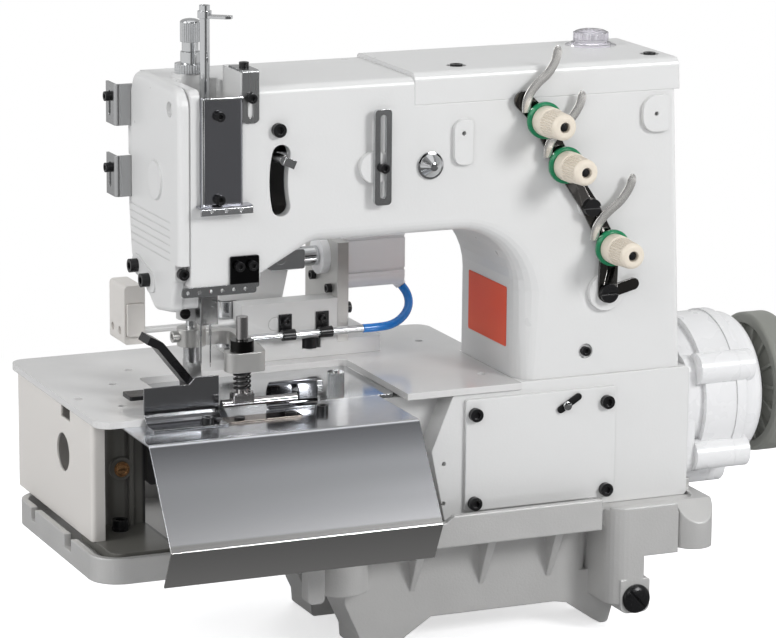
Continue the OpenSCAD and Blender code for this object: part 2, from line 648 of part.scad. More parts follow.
module regulator_bush() color(chrome) difference() {
    translate([presser_x, presser_y, arm_top + regulator_boss]) union() {
        knurled(22.5, 6.5, 36, 0.5);
        cylinder(d = regulator_d - 0.5, h = 15);
        translate([0, 0, -15]) cylinder(d = 11, h = 16);
    }
    translate([presser_x, presser_y, arm_top - 20]) cylinder(d = 7 + 2 * running, h = 60);
}
module regulator_knob() color(chrome) translate([presser_x, presser_y, arm_top + regulator_boss]) {
    translate([0, 0, -10]) cylinder(d = 7, h = 30);
    translate([0, 0, 15 + gap]) cylinder(d = regulator_d - 2.5, h = 8);
    difference() {
        translate([0, 0, 22]) knurled(regulator_d, 14, 28, 0.4);
        translate([0, 0, 21]) cylinder(d = 5, h = 20);
    }
    translate([0, 0, 22]) cylinder(d = 6, h = 14);
    translate([0, 0, 36]) rotate_extrude() polygon(concat([[0, 0]],
        [for (a = [0:18:90]) [regulator_d / 2 * cos(a), 2.5 * sin(a)]]));
}

// ---- Needle drive ----

module needle_bar() color(chrome) {
    translate([0, 0, head_under - 14]) cylinder(d = needle_bar_d, h = needle_bar_top - head_under + 14);
    translate([0, 0, needle_bar_top]) cap_screw([7.6, 4, 4], 0);
    // Thread eyelet at the top
    translate([0, 0, needle_bar_top - 5]) rotate(-35) difference() {
        union() {
            cylinder(d = 10, h = 5);
            xy(0, 2) shape([[0, -4, 0], [16, -4, 0], [20, -2.5, 1], [20, 2.5, 1], [16, 4, 0], [0, 4, 0]]);
        }
        translate([17, 0, -1]) cylinder(d = 2, h = 5);
    }
    // Driving block for the link
    link_z = shaft_top_z + crank_r - link_len;
    xy(link_z - 5, 10) box_shape(-6, -6, 4 - gap, 6, 1.5);
    translate([0, 0, link_z]) to_right() cylinder(d = 3, h = 8);
}

link_len = 48;
module needle_link() color(steel) {
    z1 = shaft_top_z + crank_r;
    difference() {
        yz(4, 4) union() {
            translate([0, z1]) circle(d = 13);
            translate([0, z1 - link_len]) circle(d = 11);
            translate([-4, z1 - link_len]) square([8, link_len]);
        }
        translate([3, 0, z1 - link_len]) to_right() cylinder(d = 3 + 2 * slip, h = 6);
    }
}

module needle_clamp() color(steel) difference() {
    z0 = head_under - 35;
    translate([0, 0, z0]) xy(0, 21) box_shape(-6, -6, 7.5, 6, 1);
    for (x = [-0.5, 0.5]) translate([x * needle_gauge, 0, z0 - 1]) cylinder(d = needle_d, h = 16);
    for (p = [[3.5, 18], [5.6, 17], [3.5, 14], [-2.5, 7], [-2.5, 3]])
        translate([p[0], -7, z0 + p[1]]) to_back() cylinder(d = 2, h = 2.2);
}

module needles() color(chrome) for (x = [-0.5, 0.5]) translate([x * needle_gauge, 0, 22]) {
    cylinder(d1 = 0.3, d2 = 1.1, h = 4);
    translate([0, 0, 4]) cylinder(d = 1.1, h = 20);
    translate([0, 0, 24]) cylinder(d = needle_d, h = head_under - 35 + 15 - 46);
}

module upper_shaft() color(steel) {
    x1 = belt_x0 + belt_w + 4;
    translate([8 + gap, 0, shaft_top_z]) to_right()
        cylinder(d = needle_stroke + 10, h = slot_x1 - 8 - 2 * gap);
    translate([slot_x1 - 2 * gap, 0, shaft_top_z]) to_right() cylinder(d = shaft_d, h = x1 - slot_x1);
    translate([belt_x0, 0, shaft_top_z]) to_right() pulley();
}
module pulley() {
    cylinder(r = pulley_r, h = belt_w + 2);
    cylinder(r = pulley_r + 3, h = 1);
}
module timing_belt() color(black) {
    r = pulley_r + gap;
    low = [shaft_y, -shaft_low_z];
    high = [0, shaft_top_z];
    yz(belt_x0 + 1 + gap, belt_w) difference() {
        hull() for (p = [low, high]) translate(p) circle(r = r + 2.5);
        hull() for (p = [low, high]) translate(p) circle(r = r);
    }
}
module lower_shaft() color(steel) {
    translate([-30, shaft_y, -shaft_low_z]) to_right() cylinder(d = shaft_d, h = wheel_x1 - 4 + 30);
    translate([belt_x0, shaft_y, -shaft_low_z]) to_right() pulley();
}

module take_up_lever() color(chrome) {
    y0 = arm_y0 + arm_wall + gap;
    a = 180 - take_up_tip;
    tip = take_up_pivot + take_up_r * [cos(a), sin(a)];
    difference() {
        union() {
            translate([take_up_pivot[0], y0 + 6, take_up_pivot[1]]) to_front() cylinder(d = 18, h = 6);
            translate([take_up_pivot[0], y0 + 6, take_up_pivot[1]]) rotate([0, -a, 0])
                translate([0, -6, -4]) cube([take_up_r, 6, 8]);
        }
        translate([take_up_pivot[0], y0 + 7, take_up_pivot[1]]) to_front()
            cylinder(d = 8 + 2 * running, h = 9);
    }
    // Tip through the slot
    translate([tip[0], y0 + 6, tip[1]]) to_front() cylinder(d = 7, h = arm_wall + 14);
    translate([tip[0], arm_y0 - 5, tip[1]]) rotate([0, 25, 0]) translate([0, -3, -3]) cube([9, 3, 6]);
}

// ---- Presser ----

ring_z = 35;
ring_h = 13;
block_z0 = 31;
block_h = 14;
module presser_bar() color(chrome) translate([presser_x, presser_y, 23])
    cylinder(d = presser_bar_d, h = arm_top - 20 - 23);
module presser_arm() color(grey) difference() {
    union() {
        translate([presser_x, presser_y, ring_z]) cylinder(d = 21, h = ring_h);
        // Cast arm to the right and then forward to the plunger block
        xy(ring_z, ring_h - 3) sheet([[presser_x, presser_y - 5, 0], [24, presser_y - 5, 7],
            [17, -plunger_out + 3, 0]], 9);
        xy(block_z0, block_h) box_shape(-4, -plunger_out - 8, 25, -plunger_out + 8, 6.5);
        translate(clamp_screw) to_left() cap_screw(m5, 5);
    }
    translate([presser_x, presser_y, 0]) cylinder(d = presser_bar_d + 2 * slip, h = 100);
    translate([plunger_x, -plunger_out, 0]) cylinder(d = plunger_d + 2 * running, h = 100);
}
plunger_x = 8.6;
clamp_screw = [presser_x - 10, presser_y, ring_z + 7];

module presser_foot() color(steel) difference() {
    union() {
        // Sleeve on the bar, shank and sole
        translate([presser_x, presser_y, 23]) cylinder(d = 12, h = ring_z - 23);
        yz(presser_x - 5, 10) shape([[16, 24, 0], [26, 24, 0], [24, 4, 0], [18, plate_z + 1, 0],
            [8, plate_z + 1, 0], [13, 12, 0]]);
        yz(-8, 16) sheet([[24, plate_z + gap, 0], [-18, plate_z + gap, 8], [-27, plate_z + 5, 0]], -2.5);
    }
    translate([presser_x, presser_y, 22]) cylinder(d = presser_bar_d + 2 * slip, h = 40);
    // Window round the needles and slit in the toe
    xy(plate_z - 1, 10) needle_window();
    translate([-1.5, -30, plate_z - 1]) cube([3, 14, 20]);
}

module needle_window() box_shape(-needle_window_x, -needle_window_y, needle_window_x, needle_window_y, 1);

washer_z = 16;
module roller_plunger() color(chrome) {
    translate([plunger_x, -plunger_out, 9]) cylinder(d = plunger_d, h = 61);
    translate([plunger_x, -plunger_out, washer_z - 1.5]) cylinder(d = 16, h = 1.5);
    // Stop collar over the block
    translate([plunger_x, -plunger_out, block_z0 + block_h + gap]) cylinder(d = 17, h = 8);
    // Clamp that holds the presser rod
    xy(washer_z - 8, 6.5) box_shape(plunger_x - 8, -plunger_out - 5, plunger_x + 8, -plunger_out + 5, 1.5);
    translate([-7, -plunger_out, washer_z - 8]) to_right() cylinder(d = rod_d, h = 57);
}
module plunger_spring() color(dark) {
    turns = 4;
    h = block_z0 - washer_z - 1.8;
    r = plunger_d / 2 + 1.5;
    n = 16;
    translate([plunger_x, -plunger_out, washer_z + 0.9])
        tube_along([for (i = [0:turns * n]) [r * cos(360 * i / n), r * sin(360 * i / n),
            h * i / (turns * n)]], 0.8, 8);
}

// ---- Thread tensions ----

disc_y = bracket_y - bracket_t;
dial_y = disc_y - 3;
module hook(path) xz(disc_y + gap, 1.5) sheet(path, 5);
module tension_bracket() color(dark) difference() {
    union() {
        translate([0, bracket_y, 0]) to_front() linear_extrude(bracket_t) {
            slot_shape([reach - 3, arm_top - 20.5], tension_at[0], 14);
            slot_shape(tension_at[0], tension_at[1], 14);
            slot_shape(tension_at[1], tension_screw, 13);
            slot_shape(tension_screw, tension_at[2], 13);
            slot_shape(tension_at[2], tension_foot, 15);
            slot_shape(tension_foot, tension_foot + [22, 4], 7);
        }
        for (p = tension_at) translate([p[0], bracket_y, p[1]]) to_front()
            cylinder(d = post_d, h = knob_len + 5);
        // Curved thread hooks over the discs
        for (p = tension_at) translate([p[0], 0, p[1]])
            hook([[-13, 2, 0], [-9, 22, 14], [4, 30, 14], [12, 48, 8], [8, 56, 0]]);
    }
    translate([tension_screw[0], bracket_y - bracket_t, tension_screw[1]]) to_front() screw_hole(m6, 10);
    translate([tension_foot[0], bracket_y - bracket_t, tension_foot[1]]) to_front() screw_hole(m6, 10);
}
module tension_discs() color(chrome) for (p = tension_at) translate([p[0], disc_y, p[1]]) to_front()
    rotate_extrude() polygon([[post_d / 2 + slip, 0], [9, 0], [dial_d / 2 - 2, 1], [dial_d / 2 - 2, 1.5],
        [dial_d / 2 - 5, 1.6], [dial_d / 2 - 2, 1.8], [dial_d / 2 - 2, 2.3], [9, 3],
            [post_d / 2 + slip, 3]]);
module tension_rings() color(green) for (p = tension_at) translate([p[0], dial_y, p[1]]) to_front()
    rotate_extrude() polygon([[post_d / 2 + slip, 0], [dial_d / 2, 0], [dial_d / 2, 2.5],
        [dial_d / 2 - 1.5, 3.5], [post_d / 2 + slip, 3.5]]);
module tension_knob(i) color(beige) translate([tension_at[i][0], dial_y - 3.5 - gap, tension_at[i][1]])
    to_front()
    difference() {
        rotate_extrude() polygon([[post_d / 2 + running, 0], [knob_d / 2, 0], [knob_d / 2, 6],
            [knob_d / 2 - 1, 7.5], [knob_d / 2 - 0.5, 9], [knob_d / 2 - 2.8, knob_len - 2],
                [knob_d / 2 - 4.5, knob_len],
            [3.6, knob_len], [3.6, knob_len - 4], [post_d / 2 + running, knob_len - 4]]);
        // Flutes along the grip
        for (k = [0:19]) rotate(k * 18) translate([knob_d / 2 - 0.2, 0, 9]) rotate([0, -5, 0])
            cylinder(r = 0.9, h = knob_len, $fn = 16);
    }
module tension_knob_1() tension_knob(0);
module tension_knob_2() tension_knob(1);
module tension_knob_3() tension_knob(2);

// ---- Work table and bed ----

module work_table() color(paint) difference() {
    xy(plate_z, table_t) union() {
        difference() {
            box_shape(-table_left, -table_front, reach, table_back, table_corner);
            translate([reach - 2 * table_corner, -table_front - 1])
                square([3 * table_corner, arm_y1 + table_front + 28]);
        }
        translate([reach - 2 * table_corner, -table_front])
            square([2 * table_corner, arm_y1 + table_front + 1]);
        // Tongue behind the column
        box_shape(reach - 3 * table_corner, arm_y1 + gap, reach + 12, table_back, table_corner);
    }
    // Folder opening
    xy(plate_z - 1, table_t + 2) shape([[-25, -table_front - 20, 0], [opening_right, -table_front - 20, 0],
        [opening_right, opening_back, 6], [-25, opening_back, 6]]);
    for (p = table_holes) translate([p[0], p[1], plate_z - 1]) cylinder(d = 6, h = table_t + 2);
}
table_holes = [[-23, 101], [-48, 64], [-63, 0], [-86, 31], [reach - 16, -6], [reach - 16, 109]];

module throat_plate() color(chrome) difference() {
    union() {
        xy(plate_z - plate_t, plate_t)
            box_shape(-25 + gap, guard_y1 + gap, opening_right - gap, opening_back - gap, 3);
        translate([thumb_at[0], thumb_at[1], plate_z - eps]) cylinder(d = 5, h = 11);
        xy(plate_z - eps, 4) box_shape(thumb_at[0] - 17, thumb_at[1] + 2, thumb_at[0] - 9, thumb_at[1] + 14,
            1);
    }
    // Needle slot and the feed slots behind it
    xy(plate_z - 2 * table_t, 4 * table_t) needle_window();
    for (x = [-8, 0, 8]) translate([x - 1, 4, plate_z - 2 * table_t]) cube([2, 16, 4 * table_t]);
}
module thumb_nut() color(chrome) difference() {
    translate([thumb_at[0], thumb_at[1], plate_z + gap]) knurled(13, 9.5, 24, 0.5);
    translate([thumb_at[0], thumb_at[1], plate_z - 1]) cylinder(d = 5 + 2 * running, h = 20);
}

bed_arm_x0 = -69;
foot_y = 12;
foot_h = bed_h - table_t - plate_t;
module bed_casting() color(paint) difference() {
    union() {
        // Gear box under the column
        xz(bed_y0, arm_y1 - bed_y0) shape([[reach - 54, plate_z, 2], [reach - 71, -46, 6],
            [reach - 60, bed_z0, 0], [bed_x1, bed_z0, 3], [bed_x1, 0, 3], [reach, 0, 0],
                [reach, plate_z, 0]]);
        // Lower arm under the throat plate, with the ledge of the loop guard
        xz(guard_y1, 71) shape([[bed_arm_x0 + 27, plate_z - plate_t, 0], [bed_arm_x0 + 27, -62, 3],
            [reach - 50, -62, 0],
            [reach - 50, plate_z - plate_t, 0]]);
        xz(-66, 66 + guard_y1) box_shape(-40, plate_z - sheet_t - 14, 112, plate_z - sheet_t, 3);
        // Foot at the left with its lug
        xy(bed_z0, foot_h) {
            box_shape(bed_arm_x0, foot_y, bed_arm_x0 + 16, 40, 7);
            box_shape(bed_arm_x0 + 14, foot_y - 2, bed_arm_x0 + 18, 30, 1.5);
            box_shape(bed_arm_x0 + 12, foot_y + 3, bed_arm_x0 + 28, 40, 1);
        }
        translate([bed_arm_x0 + 8, foot_y + 1, -49]) to_front() cylinder(d = 17, h = 3);
        xy(bed_z0, foot_lug[2] - bed_z0) box_shape(-91, -56, -41, 20, 9);
    }
    // Gear case, open into the column
    xz(arm_y0 + bed_wall, arm_depth - 2 * bed_wall)
        box_shape(reach - 42, bed_z0 + bed_wall, bed_x1 - bed_wall, -bed_wall, 8);
    xy(-bed_wall - 1, bed_wall + 2) box_shape(reach + bed_wall, arm_y0 + bed_wall + 1,
        column_top_x1 - bed_wall - 1, arm_y1 - bed_wall - 1, 10);
    // Window behind the front cover
    xz(bed_y0 - 1, bed_wall + bed_proud + 2) box_shape(bed_cover_x0 + 14, bed_cover_z1 - cover_h + 14,
        bed_cover_x0 + cover_w - 15, bed_cover_z1 - 18, 6);
    // Main shaft
    translate([-40, shaft_y, -shaft_low_z]) to_right() cylinder(d = shaft_d + 2 * running, h = bed_x1 + 50);
    for (z = [-56, -86]) translate([reach - 61, bed_y0, z]) to_front() screw_hole(m3, 4);
    place(bed_cover_screws) to_front() screw_hole(m5, 11);
    place(guard_screws) screw_hole(m5, 8);
    place(roller_plate_screws) screw_hole(m5, 8);
    translate(foot_lug) screw_hole(m6, 8);
    place(motor_screws) to_right() screw_hole(m6, 16);
    translate([bed_arm_x0 + 8, foot_y - 2, -49]) to_front() screw_hole(m6, 20);
    // Window under the guard, and the well below the needles
    xz(guard_y1 - 1, 26) box_shape(-45, -70, 90, -27, 4);
    translate([-12, -6, plate_z - plate_t - 14]) cube([24, 28, 15]);
}
motor_screws = [for (y = [-42, 42], z = [-42, 42]) [motor_x0 + 10, shaft_y + y,
    -shaft_low_z - 11 + z * 0.9]];

module bed_front_cover() color(paint) difference() {
    xz(bed_y0 - cover_t, cover_t) box_shape(bed_cover_x0, bed_cover_z1 - cover_h, bed_cover_x0 + cover_w,
        bed_cover_z1, 1.5);
    place(bed_cover_screws) to_front() screw_hole(m5, 11);
}

module left_side_cover() color(cream) difference() {
    x0 = -table_left + 2;
    union() {
        xy(pan_rim - 3, plate_z - pan_rim + 3)
            sheet([[x0 + 10, -21, 0], [x0, -21, 2], [x0, 149, 2], [x0 + 75, 149, 0]], -sheet_t);
        // Flange under the table
        xy(plate_z - sheet_t, sheet_t) box_shape(x0 + 0.5, -20, x0 + 11, 148, 1);
    }
    translate([x0 - 5, 26, plate_z - 10]) cube([8, 20, 9]);
    translate([x0 - 5, 42, plate_z - 36]) to_right() cylinder(d = 28, h = 10);
}

module loop_guard() color(steel) difference() {
    yz(guard_x0, guard_w) sheet([[guard_y1, plate_z, 0], [-guard_top, plate_z, 3],
        [-guard_front, plate_z - 66, 0], [-guard_front + 14.5, plate_z - 94, 0]], sheet_t);
    place(guard_screws) screw_hole(m5, 8);
    place(roller_plate_screws) screw_hole(m5, 8);
}
module chute_wall() color(steel) difference() {
    intersection() {
        yz(-62, 56) sheet([[chute_y - 20, plate_z + sheet_t, 0], [chute_y, plate_z + sheet_t, 9],
            [chute_y, 28, 0]], -sheet_t);
        xz(chute_y - 30, 40) polygon([[-63, -20], [-5, -20], [-5, 27], [-24, 27], [-28, 22], [-63, 22]]);
    }
    place([guard_screws[0]]) screw_hole(m5, 8);
}
module roller_plate() color(chrome) difference() {
    xy(plate_z, sheet_t) box_shape(-5.5, -plunger_out - 9, 52, -plunger_out + 6, 2);
    place(roller_plate_screws) screw_hole(m5, 8);
}
module folded_guide() color(steel) {
    // Square tube that carries the strip, with a pointed toe
    xz(-33, 2 * sheet_t + 6) difference() {
        shape([[34, plate_z, 0], [78, plate_z, 0], [70, 16, 5], [36, 20, 6]]);
        shape([[38, plate_z + 5, 1], [66, plate_z + 5, 1], [64, 12, 1], [39, 15, 1]]);
    }
}
module folder() color(black) {
    // Block that slopes down to the needles
    xz(-16, 19) sheet([[-50, 47, 0], [-42, 43, 3], [-19, 14, 2], [-18.5, plate_z + gap, 0]], 6);
    // Carrier strap on its foot, and the pointed plate that opens the strip
    xy(5, 3) box_shape(-60, -8, -20, 10, 2);
    xy(plate_z, 11) box_shape(-24.7, -14, -12.5, -6, 1);
    xy(0, 1.5) shape([[-46, -32, 1], [-24, -40, 1], [-12, -34, 1], [-12, -8, 1], [-30, -8, 1]]);
}

// ---- Air lift behind the arm ----

module rear_bracket() color(paint) difference() {
    union() {
        xy(beam_foot_h - eps, beam_z1 - beam_foot_h) translate([beam[0], beam[1]])
            square([beam[2] - beam[0], beam[3] - beam[1]]);
        xy(0, beam_foot_h) box_shape(beam[0], beam[1], plate_x1 + 27, 153, 2);
        // Guide of the puller plunger
        xy(14, 16) box_shape(puller_at[0] - 12, beam[3] - 8, puller_at[0] + 12, puller_at[1] + 11, 5);
        // Rod that carries the switch box
        translate([switch_x1 - 8, 98, 30]) to_right() cylinder(d = 5, h = beam[0] - switch_x1 + 9);
    }
    translate([beam[2], beam[1] - 1, beam_foot_h - 2.5]) cube([cylinder_plate_t, 80, 100]);
    translate([lever_at[0], beam[1] - 1, lever_at[1]]) to_back() cylinder(d = 10 + 2 * running, h = 40);
    translate([puller_at[0], puller_at[1], 0]) cylinder(d = 16 + 2 * running, h = 60);
    translate([puller_at[0] - 9, puller_at[1] - 9, -1]) cube([18, 18, beam_foot_h + 2]);
    place(clip_screws) to_front() screw_hole(m3, 6);
    // Counterbore of the foot's front screw, open to the front
    place([foot_screw]) {
        screw_hole(m6, 6);
        xy(0, 8) translate([-7.5, -5]) square([15, 5]);
        cylinder(d = 15, h = 8);
    }
    translate(side_screw) to_right() screw_hole(m5, 14);
}
side_screw = [plate_x1, 98, 34];
module cylinder_plate() color(steel) difference() {
    xy(beam_foot_h - 2.5, 86 - beam_foot_h + 2.5) translate([beam[2], beam[1]])
        square([cylinder_plate_t, 64]);
    translate([beam[2] - 1, air_y, air_z]) to_right() cylinder(d = 20 + 2 * slip, h = 20);
    place(plate_screws) to_left() screw_hole(m4, 5);
    translate(side_screw) to_right() screw_hole(m5, 14);
}
plate_screws = [for (s = [-1, 1]) [beam[2], air_y + s * 16 + 2, air_z - 21 + s * 2]];
module cylinder_body() color(cast) difference() {
    h = cylinder_h / 2;
    union() {
        yz(plate_x1, cylinder_len) union() {
            shape([for (c = box_corners(-h - 1.5, -h, h + 1.5, h, 3)) [c[0] + air_y, c[1] + air_z, c[2]]]);
            translate([air_y - h + 7, air_z - h]) circle(d = 17);
        }
        translate([beam[2] - 6, air_y, air_z]) to_right() cylinder(d = 28.5, h = 6);
        translate([beam[2] - 1, air_y, air_z]) to_right() cylinder(d = 20, h = cylinder_plate_t + 2);
        hull() {
            translate([plate_x1 + cylinder_len - 6, air_y - h + 7, air_z - h - 4]) cylinder(d = 10, h = 4);
            translate(hose_end + gap * hose_dir)
                rotate([0, acos(hose_dir[2]), atan2(hose_dir[1], hose_dir[0])])
                cylinder(d = 8.5, h = 3);
        }
    }
    // Sensor grooves along the body
    for (z = [-h + 4, h - 4]) translate([plate_x1 - 1, air_y - h - 3, air_z + z])
        cube([cylinder_len + 2, 3, 2]);
    translate([beam[2] - 10, air_y, air_z]) to_right() cylinder(d = 10 + 2 * running, h = cylinder_len);
}
module cylinder_rod() color(chrome) {
    difference() {
        union() {
            translate([beam[2] - 19, air_y, air_z]) to_right() cylinder(d = 10, h = 45);
            translate([beam[2] - 19, air_y, air_z]) to_right() cylinder(d = 15, h = 12.5);
            xz(air_y - 9, 18) shape([[pin_at[0] - 12, air_z - 7.5, 6], [beam[2] - 19, air_z - 7.5, 2],
                [beam[2] - 19, air_z + 7.5, 2], [pin_at[0] - 12, air_z + 7.5, 6]]);
        }
        translate([pin_at[0] - 20, air_y - 4.4, air_z - 10]) cube([33, 8.8, 20]);
    }
    translate([pin_at[0], air_y - 9.6, pin_at[1]]) to_back() cylinder(d = pin_d, h = 19.2);
}
pin_d = 8;
lever_t = 8;
module lift_lever() color(paint) {
    reach_pin = norm(pin_at - lever_at);
    difference() {
        xz(air_y - lever_t / 2, lever_t)
            shape([[80, 17, 8], [98, 17, 8], [110.5, 74, 9], [106, 83, 8], [92, 82, 8],
            [84, 54, 10], [66, 52, 6], [53, 52, 3], [53, puller_top + gap, 2], [68, puller_top + gap, 4],
                [76, 36, 6]]);
        // Eye slot: the linkage's open pivot
        translate([lever_at[0], air_y + lever_t, lever_at[1]]) to_front()
            rotate(atan2(pin_at[1] - lever_at[1], pin_at[0] - lever_at[0]))
            slot(reach_pin - 2, 0, reach_pin + 0.5, 0, pin_d + 2 * gap, 2 * lever_t);
    }
    translate([lever_at[0], beam[1], lever_at[1]]) to_back()
        cylinder(d = 10, h = air_y + lever_t / 2 + 2 - beam[1]);
    translate([lever_at[0], beam[3] + gap, lever_at[1]]) to_back()
        cylinder(d = 20, h = air_y - lever_t / 2 - beam[3]);
}
puller_top = 43;
module puller_plunger() color(chrome) translate([puller_at[0], puller_at[1], 8])
    cylinder(d = 16, h = puller_top - 8);

module air_tube() color(chrome) translate([beam[0], tube_at[0], tube_at[1]]) to_right()
    cylinder(d = tube_d, h = 95);
module tube_clips() color(black) difference() {
    for (x = clip_x) yz(x - 5, 10) difference() {
        union() {
            translate([beam[1] - 1.5, tube_at[1] - 1]) square([1.5, 15.5]);
            translate(tube_at) circle(d = tube_d + 3);
            translate([tube_at[0], tube_at[1] - 1]) square([beam[1] - tube_at[0], 2.5]);
        }
        translate(tube_at) circle(d = tube_d + 2 * slip);
    }
    place(clip_screws) to_front() screw_hole(m3, 6);
}
// Route of the hose, from the tube's end round to the cylinder's port
hose_route = [[157, tube_at[0], tube_at[1]], [168, 82, 20.5], [179, 83.3, 20.9], [188, 86.8, 22.9],
    [195.5, 91.5, 26.5],
    [200.5, 96.5, 31], [202.5, 101, 36], [201.8, 104.6, 41], [199, 106.5, 45.5]];
hose_end = hose_route[len(hose_route) - 1];
hose_dir = route_direction(hose_route, len(hose_route) - 1);
module blue_hose() color(blue) tube_along(hose_route, hose_d / 2, 12);

switch_x0 = -30;
switch_x1 = -14;
switch_z = [22, 66];
module switch_box() color(cream) difference() {
    xz(89, 33) shape([[switch_x0, switch_z[0], 2], [switch_x1, switch_z[0], 2], [switch_x1, switch_z[1], 3],
        [switch_x0, switch_z[1], 3]]);
    xz(88, 6) box_shape(switch_x0 + 1.2, switch_z[0] + 6, switch_x1 - 1.2, switch_z[0] + 31, 1.5);
    translate([switch_x1 - 8 - slip, 98, 30]) to_right() cylinder(d = 5 + 2 * slip, h = 20);
    for (y = [100, 115.5]) translate([switch_x0 - 1, y, 31]) to_right() cylinder(d = 6, h = 5);
}
module switch_button() color(cream) xz(86, 6.3) box_shape(switch_x0 + 1.2 + gap, switch_z[0] + 6 + gap,
    switch_x1 - 1.2 - gap, switch_z[0] + 31 - gap, 1.2);

// ---- Motor and handwheel ----

motor_lug_at = [[-50, 27, 12], [-2, -motor_d / 2 + 1, 17], [50, 27, 12], [-46, -40, 12], [46, -40, 12]];
module motor_body(r, x0, x1) translate([x0, shaft_y, -shaft_low_z]) to_right() cylinder(r = r, h = x1 - x0);
module motor_lugs(x0, x1) for (p = motor_lug_at)
    translate([x0, shaft_y + p[0], p[1] - shaft_low_z]) to_right() cylinder(r = p[2], h = x1 - x0);
module motor_flange() color(paint) difference() {
    union() {
        yz(motor_x0, 8) shape([for (c = box_corners(-52, -56, 52, 36, 14)) [c[0] + shaft_y,
            c[1] - shaft_low_z, c[2]]]);
        motor_body(motor_d / 2 - 5, motor_x0, motor_x1);
        motor_body(motor_d / 2, motor_x0 + 14, motor_x1 - 2);
        motor_lugs(pan_right + 2, motor_x1 - 2);
    }
    motor_body(shaft_d / 2 + running, motor_x0 - 1, motor_x1 + 1);
    for (p = motor_screws) translate(p) to_right() {
        screw_hole(m6, 16);
        cylinder(d = 12, h = 40);
    }
}
module motor_housing() color(paint) {
    // Lugs and rim against the flange, bell with a rounded outer edge
    difference() {
        union() {
            motor_body(motor_d / 2 + 1, motor_x1 - 2, motor_x1 + 6);
            motor_lugs(motor_x1 - 2, motor_x1 + 11);
        }
        motor_body(motor_d / 2 - 5 + gap, motor_x1 - 3, motor_x1);
        motor_body(shaft_d / 2 + running, motor_x1 - 3, motor_x1 + 40);
    }
    translate([motor_x1, shaft_y, -shaft_low_z]) to_right() rotate_extrude() polygon(concat(
        [[shaft_d / 2 + running, 0], [motor_d / 2 - 2, 0]],
        arc_points([motor_d / 2 - 16, motor_len - 14], 14, 0, 90, 8),
        [[30, motor_len], [28, motor_len + 4], [shaft_d / 2 + running, motor_len + 4]]));
}
module handwheel() color([0.42, 0.43, 0.41]) translate([wheel_x0, shaft_y, -shaft_low_z]) to_right() {
    r = wheel_d / 2;
    rotate_extrude() polygon(concat([[shaft_d / 2 + running, -5.5], [20, -5.5], [22, 1], [r - 10, 5],
        [r - 8, 0]],
        arc_points([r - 3, 3], 3, -90, 90, 6), arc_points([r - 4, wheel_w - 4], 4, 0, 90, 6),
        [[r - 9, wheel_w - 2], [r - 12, 10], [22, 10], [19, wheel_w], [shaft_d / 2 + running, wheel_w]]));
    // Fins in the recess towards the motor
    for (a = [0:24:359]) rotate(a) translate([21, -1.2, 0.5]) cube([r - 30, 2.4, 8]);
}

// ---- Base ----

leg_depth = 40;
sump = [142, -28, 296, pan_back - 22];
rib_x = [151, 207, 262];
boss_at = [92, -30];
post = [295, -67, 322, -28];
post_top = pan_rim - 8;
plug_at = [315.7, post[1], sump_z + 8];
block_r = 15;
block_at = [365, -60];
// Outlines of the left and right legs, seen from the front
module left_leg() shape([[96, sump_z + 19, 10], [109, sump_z - 9, 3], [110, -stand_h, 3], [139, -stand_h, 5],
    [146, sump_z - 13, 5], [168, sump_z + 1, 0], [168, pan_floor + 1, 0], [110, pan_floor + 1, 0],
        [110, pan_floor - 19, 6]]);
module right_leg() shape([[262, sump_z + 1, 0], [278, sump_z - 2, 6], [299, sump_z - 17, 4],
    [306, -stand_h, 4],
    [312, -stand_h, 3], [316, sump_z - 7, 4], [316, sump_z + 22, 0], [262, sump_z + 22, 0]]);
module pan_rib(x, y0, y1) intersection() {
    z1 = pan_floor + 1;
    yz(x - 4, 8) polygon(y0 < y1 ? [[y1, sump_z + 5], [y1, z1], [y0, z1]] : [[y1, sump_z + 5], [y0, z1],
        [y1, z1]]);
    xz(min(y0, y1), abs(y1 - y0)) polygon([[x - 1, sump_z], [x + 1, sump_z], [x + 3.5, z1], [x - 3.5, z1]]);
}
